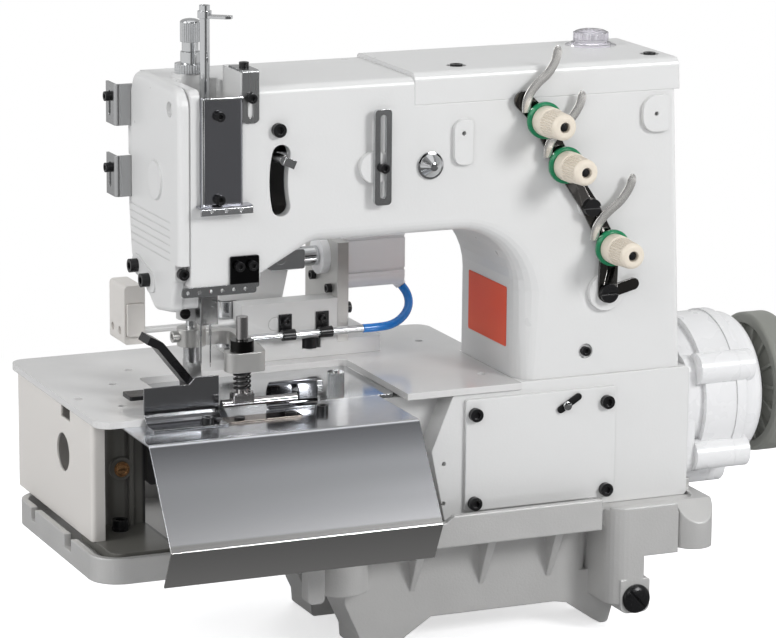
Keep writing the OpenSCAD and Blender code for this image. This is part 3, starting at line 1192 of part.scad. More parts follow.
module base_pan() color(cast) difference() {
    union() {
        difference() {
            xy(pan_floor, pan_h) box_shape(-pan_left, -pan_front, pan_right, pan_back, pan_corner);
            translate([post[0] - 7, -pan_front - 1, pan_floor - 1]) cube([20, 12, pan_h + 2]);
        }
        // Sump
        hull() {
            xy(sump_z, 2) box_shape(sump[0] + 4, sump[1], sump[2] - 4, sump[3] - 8, 10);
            xy(pan_floor, 2) box_shape(sump[0] - 4, sump[1], sump[2] + 4, sump[3], 12);
        }
        for (y = [sump[1], sump[3] - leg_depth]) {
            xz(y, leg_depth) left_leg();
            xz(y, leg_depth) right_leg();
        }
        // Draft ribs between the pan and the sump, front and back
        for (x = rib_x) {
            pan_rib(x, sump[1] - 22, sump[1] + 8);
            pan_rib(x, sump[3] + 12, sump[3] - 16);
        }
        // Round boss under the front left, hook lug beside it
        translate([boss_at[0], boss_at[1], pan_floor - 33]) cylinder(d = 42, h = 34);
        xz(-56, 12) shape([[57, pan_floor - 34, 4], [70, pan_floor - 34, 4], [70, pan_floor + 1, 0],
            [57, pan_floor + 1, 0]]);
        // Post, drain boss, wall and ear block at the front right
        xy(sump_z + 4, post_top - sump_z - 4) shape([[post[0], post[1], 14], [post[2], post[1], 0],
            [post[2], post[3] + 10, 0], [post[0], post[3] + 10, 0]]);
        xz(post[1], 45) shape([[303, sump_z - 3, 6], [327, sump_z - 3, 6], [327, -152, 2], [303, -152, 0]]);
        xy(-135, post_top + 135) translate([post[2] - 6, post[1]]) square([34, 47]);
        xy(-132, post_top + 132) {
            translate(block_at) circle(r = block_r);
            translate([block_at[0] - block_r, block_at[1]]) square([2 * block_r, 40]);
        }
    }
    // Tray, with a shelf under the bed at the front right, and sump
    difference() {
        xy(pan_floor + pan_wall, pan_h) box_shape(-pan_left + pan_wall, -pan_front + pan_wall,
            pan_right - pan_wall, pan_back - pan_wall, pan_corner - pan_wall);
        xy(pan_floor, bed_z0 - slip - pan_floor) translate([post[0] - 13, -pan_front]) square([100, 24]);
    }
    hull() {
        xy(sump_z + pan_wall, 2) box_shape(sump[0] + 9, sump[1] + pan_wall, sump[2] - 9, sump[3] - 13, 6);
        xy(pan_floor + pan_wall + 1, 1)
            box_shape(sump[0] + 1, sump[1] + pan_wall, sump[2] - 1, sump[3] - pan_wall, 8);
    }
    // Rim: low on the left with two notches, level with the post at the right
    xz(-pan_front - 1, pan_front + pan_back + 2)
        shape([[-pan_left - 1, pan_rim - 4.5, 0], [162, pan_rim - 4.5, 3],
        [170, pan_rim + 1, 3], [170, pan_rim + 9, 0], [-pan_left - 1, pan_rim + 9, 0]]);
    for (y = [-3, 79]) translate([-pan_left - 1, y, pan_rim - 14]) cube([pan_wall + 2, y < 0 ? 15 : 9, 20]);
    translate([post[0] + eps, -pan_front - 9, post_top]) cube([pan_right, 40, 20]);
    // Spot face on the post, half-moon face on the block
    translate([308, -52, post_top - 0.6]) cylinder(d = 23, h = 5);
    yz(block_at[0] - block_r - 1, 2 * block_r + 2) polygon([[block_at[1] + 1, post_top + 1],
        [block_at[1] - 24, post_top - 24], [block_at[1] - 24, post_top + 1]]);
    translate([plug_at[0], plug_at[1] - 1, plug_at[2]]) to_back() cylinder(d = 16 + 2 * slip, h = 16);
    // Room for the motor over the right rim
    motor_body(motor_d / 2 + 1.5, motor_x0 - 10, motor_x0 + 40);
}
module drain_plug() color(black) translate(plug_at) to_front() difference() {
    union() {
        translate([0, 0, -13]) cylinder(d = 16, h = 14);
        rotate_extrude() polygon(concat([[0, 0], [11, 0], [11, 1.5]],
            [for (a = [20:14:90]) [11 * cos(a), 1.5 + 4 * sin(a)]]));
    }
    rotate(-48) translate([-13, -1, 3.2]) cube([26, 2, 9]);
}

// ---- Fasteners ----

module socket_screws() color(black) {
    place(cap_screws) cap_screw([9, 3, 5], 12);
    place(cover_screws) to_front() cap_screw(m4, 8);
    place(thread_screws) to_front() cap_screw(m4, 5);
    place(ear_screws) to_left() cap_screw(m6, 12);
    place(corner_screws) cap_screw(m4, 5);
    place([arm_front_screws[0]]) to_front() cap_screw([10, 4.5, 4], 7);
    place([for (i = [1:3]) arm_front_screws[i]]) to_front() cap_screw(m4, 7);
    place(bed_cover_screws) to_front() cap_screw([10, 4.5, 5], 9);
    place([guard_screws[0], guard_screws[1]]) cap_screw(m5, 6);
    place([foot_lug]) cap_screw([12, 8, 6], 6);
    place(motor_screws) to_right() cap_screw(m6, 14);
    place(plate_screws) to_left() cap_screw(m4, 4);
    place([side_screw]) to_right() cap_screw(m5, 12);
    place(bracket_screws) to_left() cap_screw(m4, 6);
    place(clip_screws) to_front() cap_screw(m3, 5);
    place([foot_screw]) cap_screw([12, 8, 6], 5);
    place([face_screw]) to_front() cap_screw([8, 5, 4], 5);
}
module slot_screws() color(dark) {
    translate([tension_screw[0], bracket_y - bracket_t, tension_screw[1]]) to_front()
        slot_screw(13, 5, 6, 8);
    translate([tension_foot[0], bracket_y - bracket_t, tension_foot[1]]) to_front() slot_screw(14, 4, 6, 8);
    place(roller_plate_screws) slot_screw(8, 1.5, 5, 6);
    translate(bush_screw) to_front() slot_screw(7.7, 1.5, 4, 3);
}

at_origin() base_pan();
at_origin() drain_plug();
at_origin() bed_casting();
at_origin() bed_front_cover();
at_origin() work_table();
at_origin() throat_plate();
at_origin() left_side_cover();
at_origin() loop_guard();
at_origin() chute_wall();
at_origin() roller_plate();
at_origin() folded_guide();
at_origin() folder();
at_origin() arm_casting();
at_origin() arm_top_cover();
at_origin() oil_sight_glass();
at_origin() face_cover();
at_origin() face_brackets();
at_origin() needle_bar_cover();
at_origin() corner_thread_bracket();
at_origin() slotted_guide_bar();
at_origin() cone_plug();
at_origin() thread_guide_bar();
at_origin() regulator_bush();
at_origin() tension_bracket();
at_origin() tension_discs();
at_origin() tension_rings();
at_origin() motor_housing();
at_origin() motor_flange();
at_origin() timing_belt();
at_origin() cylinder_plate();
at_origin() cylinder_body();
at_origin() rear_bracket();
at_origin() air_tube();
at_origin() tube_clips();
at_origin() blue_hose();
at_origin() switch_box();
at_origin() socket_screws();
at_origin() slot_screws();
at_origin() handwheel();
at_origin() lower_shaft();
at_origin() upper_shaft();
at_origin() needle_bar();
at_origin() needle_link();
at_origin() needle_clamp();
at_origin() needles();
at_origin() take_up_lever();
at_origin() presser_bar();
at_origin() presser_arm();
at_origin() presser_foot();
at_origin() roller_plunger();
at_origin() plunger_spring();
at_origin() regulator_knob();
at_origin() tension_knob_1();
at_origin() tension_knob_2();
at_origin() tension_knob_3();
at_origin() cylinder_rod();
at_origin() lift_lever();
at_origin() puller_plunger();
at_origin() switch_button();
at_origin() thumb_nut();
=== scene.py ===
"""Belt loop making machine: an industrial two-needle sewing machine with a loop folder, dressed round its CAD frame."""
import bpy, math
from mathutils import Matrix, Vector


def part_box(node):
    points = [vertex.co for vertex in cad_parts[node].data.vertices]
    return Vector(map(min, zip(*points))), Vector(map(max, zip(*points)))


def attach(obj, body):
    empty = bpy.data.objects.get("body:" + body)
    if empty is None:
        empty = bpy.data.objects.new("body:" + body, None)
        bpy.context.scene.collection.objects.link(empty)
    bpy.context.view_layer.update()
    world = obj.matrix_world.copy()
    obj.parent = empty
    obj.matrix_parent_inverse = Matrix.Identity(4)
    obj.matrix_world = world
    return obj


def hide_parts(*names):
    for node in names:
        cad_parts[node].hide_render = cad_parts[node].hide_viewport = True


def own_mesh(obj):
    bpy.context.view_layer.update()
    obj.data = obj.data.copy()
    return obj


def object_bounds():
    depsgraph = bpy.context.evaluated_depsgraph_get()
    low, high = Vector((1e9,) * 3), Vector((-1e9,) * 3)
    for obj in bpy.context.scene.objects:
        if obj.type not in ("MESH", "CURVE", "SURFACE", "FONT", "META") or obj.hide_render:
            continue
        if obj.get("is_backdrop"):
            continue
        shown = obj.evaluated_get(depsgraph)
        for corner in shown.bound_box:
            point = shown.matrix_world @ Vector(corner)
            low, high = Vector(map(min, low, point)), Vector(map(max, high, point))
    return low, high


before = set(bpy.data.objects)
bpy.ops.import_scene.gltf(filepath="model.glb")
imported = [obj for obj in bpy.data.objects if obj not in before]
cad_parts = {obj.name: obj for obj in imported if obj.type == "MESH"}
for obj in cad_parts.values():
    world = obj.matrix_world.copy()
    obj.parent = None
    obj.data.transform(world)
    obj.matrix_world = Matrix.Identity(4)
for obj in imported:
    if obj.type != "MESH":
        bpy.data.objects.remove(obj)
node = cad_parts
low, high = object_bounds()

# ---- Camera ----
# It stands about 2.7 m off, left of the machine's front and a little above its table, with a long lens
# and a slight roll.
SENSOR, LENS = 36.0, 174.8969072                # millimetres
TURN, TILT, ROLL = -23.4, 12.85, 0.45           # degrees
bpy.ops.object.select_all(action="DESELECT")
camera = bpy.data.objects.new("camera", bpy.data.cameras.new("camera"))
bpy.context.scene.collection.objects.link(camera)
bpy.context.scene.camera = camera
camera.data.sensor_width = SENSOR
camera.data.lens = LENS
camera.data.clip_end = 30.0
camera.location = (-1.10614, -2.47402, 0.85421)
camera.rotation_mode = "QUATERNION"
look = Matrix.Rotation(math.radians(TURN), 3, "Z") @ Matrix.Rotation(math.radians(90 - TILT), 3, "X")
camera.rotation_quaternion = (look @ Matrix.Rotation(math.radians(ROLL), 3, "Z")).to_quaternion()
bpy.context.scene.view_settings.view_transform = "Standard"

# ---- Air hose ----
# Blue polyurethane hose of 6.5 mm, pushed over the air tube's end at the table and onto the
# cylinder's elbow. It is extruded in one colour with a glossy skin, and keeps its own springy bend.
NEEDLE = Vector((-0.183, -0.0125, 0.196))    # the needle point on the table, where the drawing starts
HOSE_R = 0.00325


def at(x, y, z):
    """A point of the drawing, in millimetres from the needle point, as a place in the frame."""
    return NEEDLE + Vector((x, y, z)) / 1000


def smooth_line(marks, steps):
    """Points along one smooth curve through the marks."""
    ends = [2 * marks[0] - marks[1]] + marks + [2 * marks[-1] - marks[-2]]
    line = []
    for i in range(1, len(ends) - 2):
        for k in range(steps):
            t = k / steps
            line.append(0.5 * (2 * ends[i] + (ends[i + 1] - ends[i - 1]) * t
                        + (2 * ends[i - 1] - 5 * ends[i] + 4 * ends[i + 1] - ends[i + 2]) * t * t
                        + (3 * ends[i] - ends[i - 1] - 3 * ends[i + 1] + ends[i + 2]) * t ** 3))
    return line + [marks[-1]]


hose_marks = [at(157, 82, 20.5), at(168, 82, 20.5), at(179, 83.3, 20.9), at(188, 86.8, 22.9), at(195.5, 91.5, 26.5),
              at(200.5, 96.5, 31), at(202.5, 101, 36), at(201.8, 104.6, 41), at(199, 106.5, 45.5)]
hose_line = smooth_line(hose_marks, 3)
hose_curve = bpy.data.curves.new("air_hose", "CURVE")
hose_curve.dimensions = "3D"
hose_curve.bevel_depth = 1.0    # each point below gives the radius
hose_curve.bevel_resolution = 6
hose_curve.use_fill_caps = True
run = hose_curve.splines.new("POLY")
run.points.add(len(hose_line) - 1)
for spot, place in zip(run.points, hose_line):
    spot.co = (*place, 1)
    spot.radius = HOSE_R
run.use_smooth = True
hose = bpy.data.objects.new("air_hose", hose_curve)
bpy.context.scene.collection.objects.link(hose)
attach(hose, "machine")
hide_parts("blue_hose")


def speckle_group():
    """Fine grain for castings, paint and plastic: a height, and a mask that drifts slowly over the surface."""
    group = bpy.data.node_groups.get("speckle")
    if group:
        return group
    group = bpy.data.node_groups.new("speckle", "ShaderNodeTree")
    face = group.interface
    face.new_socket("Vector", in_out="INPUT", socket_type="NodeSocketVector")
    for name in ("Grain", "Wave", "Share"):
        face.new_socket(name, in_out="INPUT", socket_type="NodeSocketFloat")
    for name in ("Height", "Drift"):
        face.new_socket(name, in_out="OUTPUT", socket_type="NodeSocketFloat")
    ends = group.nodes.new("NodeGroupInput")
    done = group.nodes.new("NodeGroupOutput")
    fine = group.nodes.new("ShaderNodeTexNoise")
    fine.inputs["Detail"].default_value = 3
    slow = group.nodes.new("ShaderNodeTexNoise")
    slow.inputs["Detail"].default_value = 2
    group.links.new(ends.outputs["Vector"], fine.inputs["Vector"])
    group.links.new(ends.outputs["Vector"], slow.inputs["Vector"])
    group.links.new(ends.outputs["Grain"], fine.inputs["Scale"])
    group.links.new(ends.outputs["Wave"], slow.inputs["Scale"])
    both = group.nodes.new("ShaderNodeMix")
    group.links.new(ends.outputs["Share"], both.inputs["Factor"])
    group.links.new(fine.outputs["Fac"], both.inputs["A"])
    group.links.new(slow.outputs["Fac"], both.inputs["B"])
    group.links.new(both.outputs["Result"], done.inputs["Height"])
    group.links.new(slow.outputs["Fac"], done.inputs["Drift"])
    return group


def edge_group():
    """Rounds the shading of sharp edges and gives a mask of where they are."""
    group = bpy.data.node_groups.get("soft_edges")
    if group:
        return group
    group = bpy.data.node_groups.new("soft_edges", "ShaderNodeTree")
    face = group.interface
    face.new_socket("Radius", in_out="INPUT", socket_type="NodeSocketFloat")
    face.new_socket("Normal", in_out="OUTPUT", socket_type="NodeSocketVector")
    face.new_socket("Edge", in_out="OUTPUT", socket_type="NodeSocketFloat")
    ends = group.nodes.new("NodeGroupInput")
    done = group.nodes.new("NodeGroupOutput")
    bevel = group.nodes.new("ShaderNodeBevel")
    bevel.samples = 6
    group.links.new(ends.outputs["Radius"], bevel.inputs["Radius"])
    own = group.nodes.new("ShaderNodeNewGeometry")
    dot = group.nodes.new("ShaderNodeVectorMath")
    dot.operation = "DOT_PRODUCT"
    group.links.new(bevel.outputs["Normal"], dot.inputs[0])
    group.links.new(own.outputs["Normal"], dot.inputs[1])
    span = group.nodes.new("ShaderNodeMapRange")
    span.inputs["From Min"].default_value = 0.99
    span.inputs["From Max"].default_value = 0.80
    group.links.new(dot.outputs["Value"], span.inputs["Value"])
    group.links.new(bevel.outputs["Normal"], done.inputs["Normal"])
    group.links.new(span.outputs["Result"], done.inputs["Edge"])
    return group


MIX_A, MIX_B, MIX_COLOUR = 6, 7, 2    # the colour sockets of a Mix node


def tinted(tree, colour, axis, marks):
    """Multiplies a colour by one that changes along an axis of the drawing, given as (millimetre, colour) marks."""
    where = tree.nodes.new("ShaderNodeTexCoord")
    split = tree.nodes.new("ShaderNodeSeparateXYZ")
    tree.links.new(where.outputs["Object"], split.inputs[0])
    span = tree.nodes.new("ShaderNodeMapRange")
    start = NEEDLE["XYZ".index(axis)]
    first, last = marks[0][0], marks[-1][0]
    span.inputs["From Min"].default_value = start + first / 1000
    span.inputs["From Max"].default_value = start + last / 1000
    tree.links.new(split.outputs[axis], span.inputs["Value"])
    ramp = tree.nodes.new("ShaderNodeValToRGB")
    stops = ramp.color_ramp.elements
    for i, (place, shade) in enumerate(marks):
        along = (place - first) / (last - first)
        if i == 0:
            stop = stops[0]
        elif i < len(marks) - 1:
            stop = stops.new(along)
        else:
            stop = stops[-1]
        stop.position = along
        stop.color = (*shade, 1)
    tree.links.new(span.outputs["Result"], ramp.inputs["Fac"])
    both = tree.nodes.new("ShaderNodeMix")
    both.data_type = "RGBA"
    both.blend_type = "MULTIPLY"
    both.inputs["Factor"].default_value = 1
    tree.links.new(colour, both.inputs[MIX_A])
    tree.links.new(ramp.outputs["Color"], both.inputs[MIX_B])
    return both.outputs[MIX_COLOUR]


def finish_of(name, colour, rough, metal=0.0, grain=900, wave=40, share=0.3, bump=0.05, radius=0.0006,
              drift=0.02, edge=(1.0, 1.0, 1.0), wear_and_painted_edge_light=0.0, rough_drift=0.05, stretch=(1, 1, 1), tint=None, **sockets):
    """A finish with grain, slow colour drift, rounded edges whose colour stands for wear on most finishes and for
    painted highlights and painted shade on some bare metals, and at need a tint along one axis, which on some finishes
    paints shade and reflection.
    """
    finish = bpy.data.materials.new(name)
    finish.use_nodes = True
    tree = finish.node_tree
    skin = tree.nodes["Principled BSDF"]
    skin.inputs["Metallic"].default_value = metal
    for socket, value in sockets.items():
        skin.inputs[socket.replace("_", " ")].default_value = value
    where = tree.nodes.new("ShaderNodeTexCoord")
    turn = tree.nodes.new("ShaderNodeMapping")
    turn.inputs["Scale"].default_value = stretch
    tree.links.new(where.outputs["Object"], turn.inputs["Vector"])
    speckle = tree.nodes.new("ShaderNodeGroup")
    speckle.node_tree = speckle_group()
    speckle.inputs["Grain"].default_value = grain
    speckle.inputs["Wave"].default_value = wave
    speckle.inputs["Share"].default_value = share
    tree.links.new(turn.outputs["Vector"], speckle.inputs["Vector"])
    edges = tree.nodes.new("ShaderNodeGroup")
    edges.node_tree = edge_group()
    edges.inputs["Radius"].default_value = radius
    tone = tree.nodes.new("ShaderNodeMix")
    tone.data_type = "RGBA"
    tone.inputs[MIX_A].default_value = [c * (1 - drift) for c in colour] + [1]
    tone.inputs[MIX_B].default_value = [min(c * (1 + drift), 1) for c in colour] + [1]
    tree.links.new(speckle.outputs["Drift"], tone.inputs["Factor"])
    # The edge mask mixes in the edge colour: wear on most finishes, painted highlights on the needle bar cover and
    # chute steel, painted shade on the thread hooks.
    worn_and_painted_edges = tree.nodes.new("ShaderNodeMix")
    worn_and_painted_edges.data_type = "RGBA"
    worn_and_painted_edges.inputs[MIX_B].default_value = list(edge) + [1]
    amount = tree.nodes.new("ShaderNodeMath")
    amount.operation = "MULTIPLY"
    amount.inputs[1].default_value = wear_and_painted_edge_light
    tree.links.new(edges.outputs["Edge"], amount.inputs[0])
    tree.links.new(amount.outputs[0], worn_and_painted_edges.inputs["Factor"])
    tree.links.new(tone.outputs[MIX_COLOUR], worn_and_painted_edges.inputs[MIX_A])
    dull = tree.nodes.new("ShaderNodeMapRange")
    dull.inputs["To Min"].default_value = max(rough - rough_drift, 0.02)
    dull.inputs["To Max"].default_value = rough + rough_drift
    tree.links.new(speckle.outputs["Drift"], dull.inputs["Value"])
    last_colour = worn_and_painted_edges.outputs[MIX_COLOUR]
    if tint:
        last_colour = tinted(tree, last_colour, *tint)
    tree.links.new(last_colour, skin.inputs["Base Color"])
    tree.links.new(dull.outputs["Result"], skin.inputs["Roughness"])
    relief = tree.nodes.new("ShaderNodeBump")
    relief.inputs["Strength"].default_value = bump
    relief.inputs["Distance"].default_value = 0.001
    tree.links.new(speckle.outputs["Height"], relief.inputs["Height"])
    tree.links.new(edges.outputs["Normal"], relief.inputs["Normal"])
    tree.links.new(relief.outputs["Normal"], skin.inputs["Normal"])
    return finish


hose_skin = finish_of("blue_tube", (0.002, 0.20, 0.66), 0.2, grain=900, bump=0.01, Coat_Weight=0.4)
hose_curve.materials.append(hose_skin)

# ---- Studio ----
# A white floor that fades into a white room, which mirrors see behind and above the machine; in front of
# it the room and the floor that mirrors see are dark. A large soft lamp in front and one at the left light it,
# with weaker ones beside the camera, overhead, behind and at the right. Mirrors don't see the last two.
FLOOR_WIDE = 14
FLOOR_GAP = 0.0002                  # keeps the floor just clear of the feet
FLOOR_GLOW = 0.62                   # what the floor adds to its own light, for the camera
FADE_FROM, FADE_TO = 0.32, 0.95     # metres from the middle between which the floor turns to plain white


def settle():
    """Puts the chosen object's place, turn and size into its mesh."""
    bpy.ops.object.transform_apply(location=True, rotation=True, scale=True)


def camera_or_glass(tree):
    """The light path, and whether a ray comes from the camera or through clear material."""
    path = tree.nodes.new("ShaderNodeLightPath")
    seen = tree.nodes.new("ShaderNodeMath")
    seen.operation = "MAXIMUM"
    tree.links.new(path.outputs["Is Camera Ray"], seen.inputs[0])
    tree.links.new(path.outputs["Is Transmission Ray"], seen.inputs[1])
    return path, seen.outputs[0]


def blended(tree, factor, first, second):
    """A mix of two shaders."""
    both = tree.nodes.new("ShaderNodeMixShader")
    for i, socket in enumerate((factor, first, second)):
        tree.links.new(socket, both.inputs[i])
    return both.outputs[0]


bpy.ops.mesh.primitive_plane_add(size=1)
floor = bpy.context.object
floor.name = "floor"
floor.scale = (FLOOR_WIDE, FLOOR_WIDE, 1)
floor.location = (0, 0, low.z - FLOOR_GAP)
settle()
floor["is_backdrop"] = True
white = bpy.data.materials.new("studio_white")
white.use_nodes = True
tree = white.node_tree
tree.nodes.clear()
path, seen = camera_or_glass(tree)
shade = tree.nodes.new("ShaderNodeBsdfDiffuse")
shade.inputs["Color"].default_value = (0.80, 0.80, 0.81, 1)
lift = tree.nodes.new("ShaderNodeMath")
lift.operation = "MULTIPLY"
lift.inputs[1].default_value = FLOOR_GLOW
tree.links.new(seen, lift.inputs[0])
glow = tree.nodes.new("ShaderNodeEmission")
tree.links.new(lift.outputs[0], glow.inputs["Strength"])
near = tree.nodes.new("ShaderNodeAddShader")
tree.links.new(shade.outputs[0], near.inputs[0])
tree.links.new(glow.outputs[0], near.inputs[1])
far = tree.nodes.new("ShaderNodeEmission")
where = tree.nodes.new("ShaderNodeTexCoord")
apart = tree.nodes.new("ShaderNodeVectorMath")
apart.operation = "LENGTH"
tree.links.new(where.outputs["Object"], apart.inputs[0])


def panel(tree, value, start, end, strength):
    """Brightness that rises smoothly as a coordinate goes from start to end."""
    rise = tree.nodes.new("ShaderNodeMapRange")
    rise.interpolation_type = "SMOOTHSTEP"
    rise.inputs["From Min"].default_value = start
    rise.inputs["From Max"].default_value = end
    rise.inputs["To Max"].default_value = strength
    tree.links.new(value, rise.inputs["Value"])
    return rise.outputs["Result"]


def brightest(tree, values):
    """The largest of several values."""
    last = values[0]
    for value in values[1:]:
        larger = tree.nodes.new("ShaderNodeMath")
        larger.operation = "MAXIMUM"
        tree.links.new(last, larger.inputs[0])
        tree.links.new(value, larger.inputs[1])
        last = larger.outputs[0]
    return last


split = tree.nodes.new("ShaderNodeSeparateXYZ")
tree.links.new(where.outputs["Object"], split.inputs[0])
cards = tree.nodes.new("ShaderNodeEmission")
card_light = [panel(tree, split.outputs[axis], start, end, strength)
              for axis, start, end, strength in (("X", -0.85, -1.25, 0.85), ("X", 1.0, 1.5, 0.8), ("Y", 0.2, 0.8, 0.45),
                                                 ("Z", -1, 1, 0.3))]
tree.links.new(brightest(tree, card_light), cards.inputs["Strength"])
fade = tree.nodes.new("ShaderNodeMapRange")
fade.interpolation_type = "SMOOTHSTEP"
fade.inputs["From Min"].default_value = FADE_FROM
fade.inputs["From Max"].default_value = FADE_TO
tree.links.new(apart.outputs["Value"], fade.inputs["Value"])
share = tree.nodes.new("ShaderNodeMath")
share.operation = "MULTIPLY"
tree.links.new(fade.outputs["Result"], share.inputs[0])
tree.links.new(seen, share.inputs[1])
plain = blended(tree, share.outputs[0], near.outputs[0], far.outputs[0])
out = tree.nodes.new("ShaderNodeOutputMaterial")
tree.links.new(blended(tree, path.outputs["Is Glossy Ray"], plain, cards.outputs[0]), out.inputs["Surface"])
floor.data.materials.append(white)

world = bpy.data.worlds.new("room")
bpy.context.scene.world = world
world.use_nodes = True
tree = world.node_tree
tree.nodes.clear()
path, seen = camera_or_glass(tree)
room = tree.nodes.new("ShaderNodeBackground")
room.inputs["Color"].default_value = (0.96, 0.98, 1.0, 1)
room.inputs["Strength"].default_value = 0.34
where = tree.nodes.new("ShaderNodeTexCoord")
split = tree.nodes.new("ShaderNodeSeparateXYZ")
tree.links.new(where.outputs["Generated"], split.inputs[0])
card_light = [panel(tree, split.outputs[axis], start, end, strength)
              for axis, start, end, strength in (("X", -0.75, -0.95, 0.8), ("X", 0.75, 0.95, 0.7),
                                                 ("Y", -0.45, 0.35, 0.62), ("Z", 0.45, 0.95, 0.45))]
mirror = tree.nodes.new("ShaderNodeBackground")
tree.links.new(brightest(tree, card_light), mirror.inputs["Strength"])
clear = tree.nodes.new("ShaderNodeBackground")
clear.inputs["Strength"].default_value = 1.0
lit = blended(tree, path.outputs["Is Glossy Ray"], room.outputs[0], mirror.outputs[0])
out = tree.nodes.new("ShaderNodeOutputWorld")
tree.links.new(blended(tree, seen, lit, clear.outputs[0]), out.inputs["Surface"])

middle = Vector((0, 0, 0.24))
lamps = (("key", (1.5, -2.8, 1.8), 0.9, 64), ("beside_camera", (-1.7, -2.2, 1.9), 1.5, 16),
         ("left", (-2.8, -0.2, 1.6), 1.5, 37), ("overhead", (0.1, 0.1, 2.5), 2.0, 8),
         ("behind", (1.2, 2.6, 1.9), 1.5, 30), ("right", (2.9, 0.2, 1.2), 1.3, 16))
for name, place, size, power in lamps:
    lamp = bpy.data.objects.new(name, bpy.data.lights.new(name, "AREA"))
    bpy.context.scene.collection.objects.link(lamp)
    lamp.data.size = size
    lamp.data.energy = power
    lamp.location = place
    lamp.visible_glossy = name not in ("behind", "right")
    lamp.rotation_mode = "QUATERNION"
    lamp.rotation_quaternion = (middle - Vector(place)).to_track_quat("-Z", "Y")

# ---- Base pan ----
# One sand casting in aluminium with its tray, sump, legs and ribs, tumbled but not painted: its skin is
# finely grained and its edges are bright. The drain plug is a blackened slotted screw at the front right.


def dress(names, finish):
    """Gives CAD nodes their finish."""
    for name in names:
        for spot in node[name].material_slots:
            spot.link = "OBJECT"
            spot.material = finish


cast_metal = finish_of("cast_aluminium", (0.60, 0.595, 0.585), 0.42, metal=0.4, grain=700, wave=30, share=0.25,
                       bump=0.25, radius=0.0018, drift=0.05, edge=(0.72, 0.72, 0.72), wear_and_painted_edge_light=0.6)
dress(["base_pan"], cast_metal)
black_metal = finish_of("black_oxide", (0.010, 0.010, 0.011), 0.28, metal=0.2, grain=1500, bump=0.03,
                        radius=0.0004, edge=(0.08, 0.08, 0.085), wear_and_painted_edge_light=0.3)
dress(["drain_plug", "tube_clips", "socket_screws", "slot_screws"], black_metal)

# ---- Bed, motor and wheel ----
# The bed is a grey-iron box under the column, with a lower arm that reaches below the needles; it is
# filled, sprayed white and stoved. A sheet cover closes its front. The motor is flanged to its right
# side, in two castings of a whiter enamel, and the handwheel is a die casting in a dull olive grey.
white_paint = finish_of("white_enamel", (0.68, 0.68, 0.675), 0.30, grain=520, wave=60, share=0.4, bump=0.10,
                        radius=0.0012, drift=0.006, Coat_Weight=0.25, Coat_Roughness=0.12)
dress(["bed_front_cover"], white_paint)
motor_paint = finish_of("motor_enamel", (0.77, 0.77, 0.775), 0.28, grain=700, wave=45, bump=0.04, radius=0.0008,
                        drift=0.006, Coat_Weight=0.4, Coat_Roughness=0.1)
dress(["motor_housing", "motor_flange"], motor_paint)
# The tint along X paints shade on the bed: dark grey on the lower arm's foot and post, near black on the lower arm
# under the table, and full white from the column on.
bed_paint_and_painted_shade = finish_of("bed_enamel_and_painted_shade", (0.68, 0.68, 0.675), 0.30, grain=520, wave=60, share=0.4, bump=0.10,
                      radius=0.0012, drift=0.006, Coat_Weight=0.2, Coat_Roughness=0.12,
                      tint=("X", [(-91, (0.24, 0.235, 0.215)), (-44, (0.24, 0.235, 0.215)), (-42.5, (0.05, 0.05, 0.05)),
                                  (112, (0.05, 0.05, 0.05)), (114, (1, 1, 1)), (370, (1, 1, 1))]))
dress(["bed_casting"], bed_paint_and_painted_shade)
wheel_paint = finish_of("wheel_grey", (0.27, 0.275, 0.25), 0.4, metal=0.2, grain=700, bump=0.08, radius=0.001,
                        edge=(0.45, 0.45, 0.43), wear_and_painted_edge_light=0.4)
dress(["handwheel"], wheel_paint)
shaft_steel = finish_of("shaft_steel", (0.50, 0.50, 0.51), 0.28, metal=1.0, grain=1200, wave=50, bump=0.03,
                        radius=0.0005, stretch=(0.05, 1, 1))
dress(["lower_shaft", "upper_shaft"], shaft_steel)
rubber = finish_of("belt_rubber", (0.02, 0.02, 0.02), 0.7, grain=900, bump=0.2)
dress(["timing_belt"], rubber)

# ---- Work table, side cover and throat plate ----
# The table is a steel plate ground flat and sprayed in a glossier white than the castings. The left
# side is closed by a folded cover in cream enamel, and the throat plate is chromed.
table_paint = finish_of("table_enamel", (0.66, 0.655, 0.65), 0.22, grain=500, wave=45, share=0.5, bump=0.04,
                        radius=0.0006, drift=0.006, Coat_Weight=0.5, Coat_Roughness=0.06)
dress(["work_table"], table_paint)
cream_paint = finish_of("cream_enamel", (0.68, 0.655, 0.625), 0.38, grain=800, wave=45, bump=0.05, radius=0.0008,
                        drift=0.008)
dress(["left_side_cover", "switch_box", "switch_button"], cream_paint)
chrome = finish_of("bright_chrome", (0.62, 0.63, 0.64), 0.14, metal=1.0, grain=1500, wave=60, bump=0.02,
                   radius=0.0004, rough_drift=0.04)
dress(["throat_plate", "slotted_guide_bar", "cone_plug", "regulator_bush", "regulator_knob", "tension_discs",
       "needle_bar", "needles", "take_up_lever", "presser_bar", "cylinder_rod", "puller_plunger", "thumb_nut"], chrome)

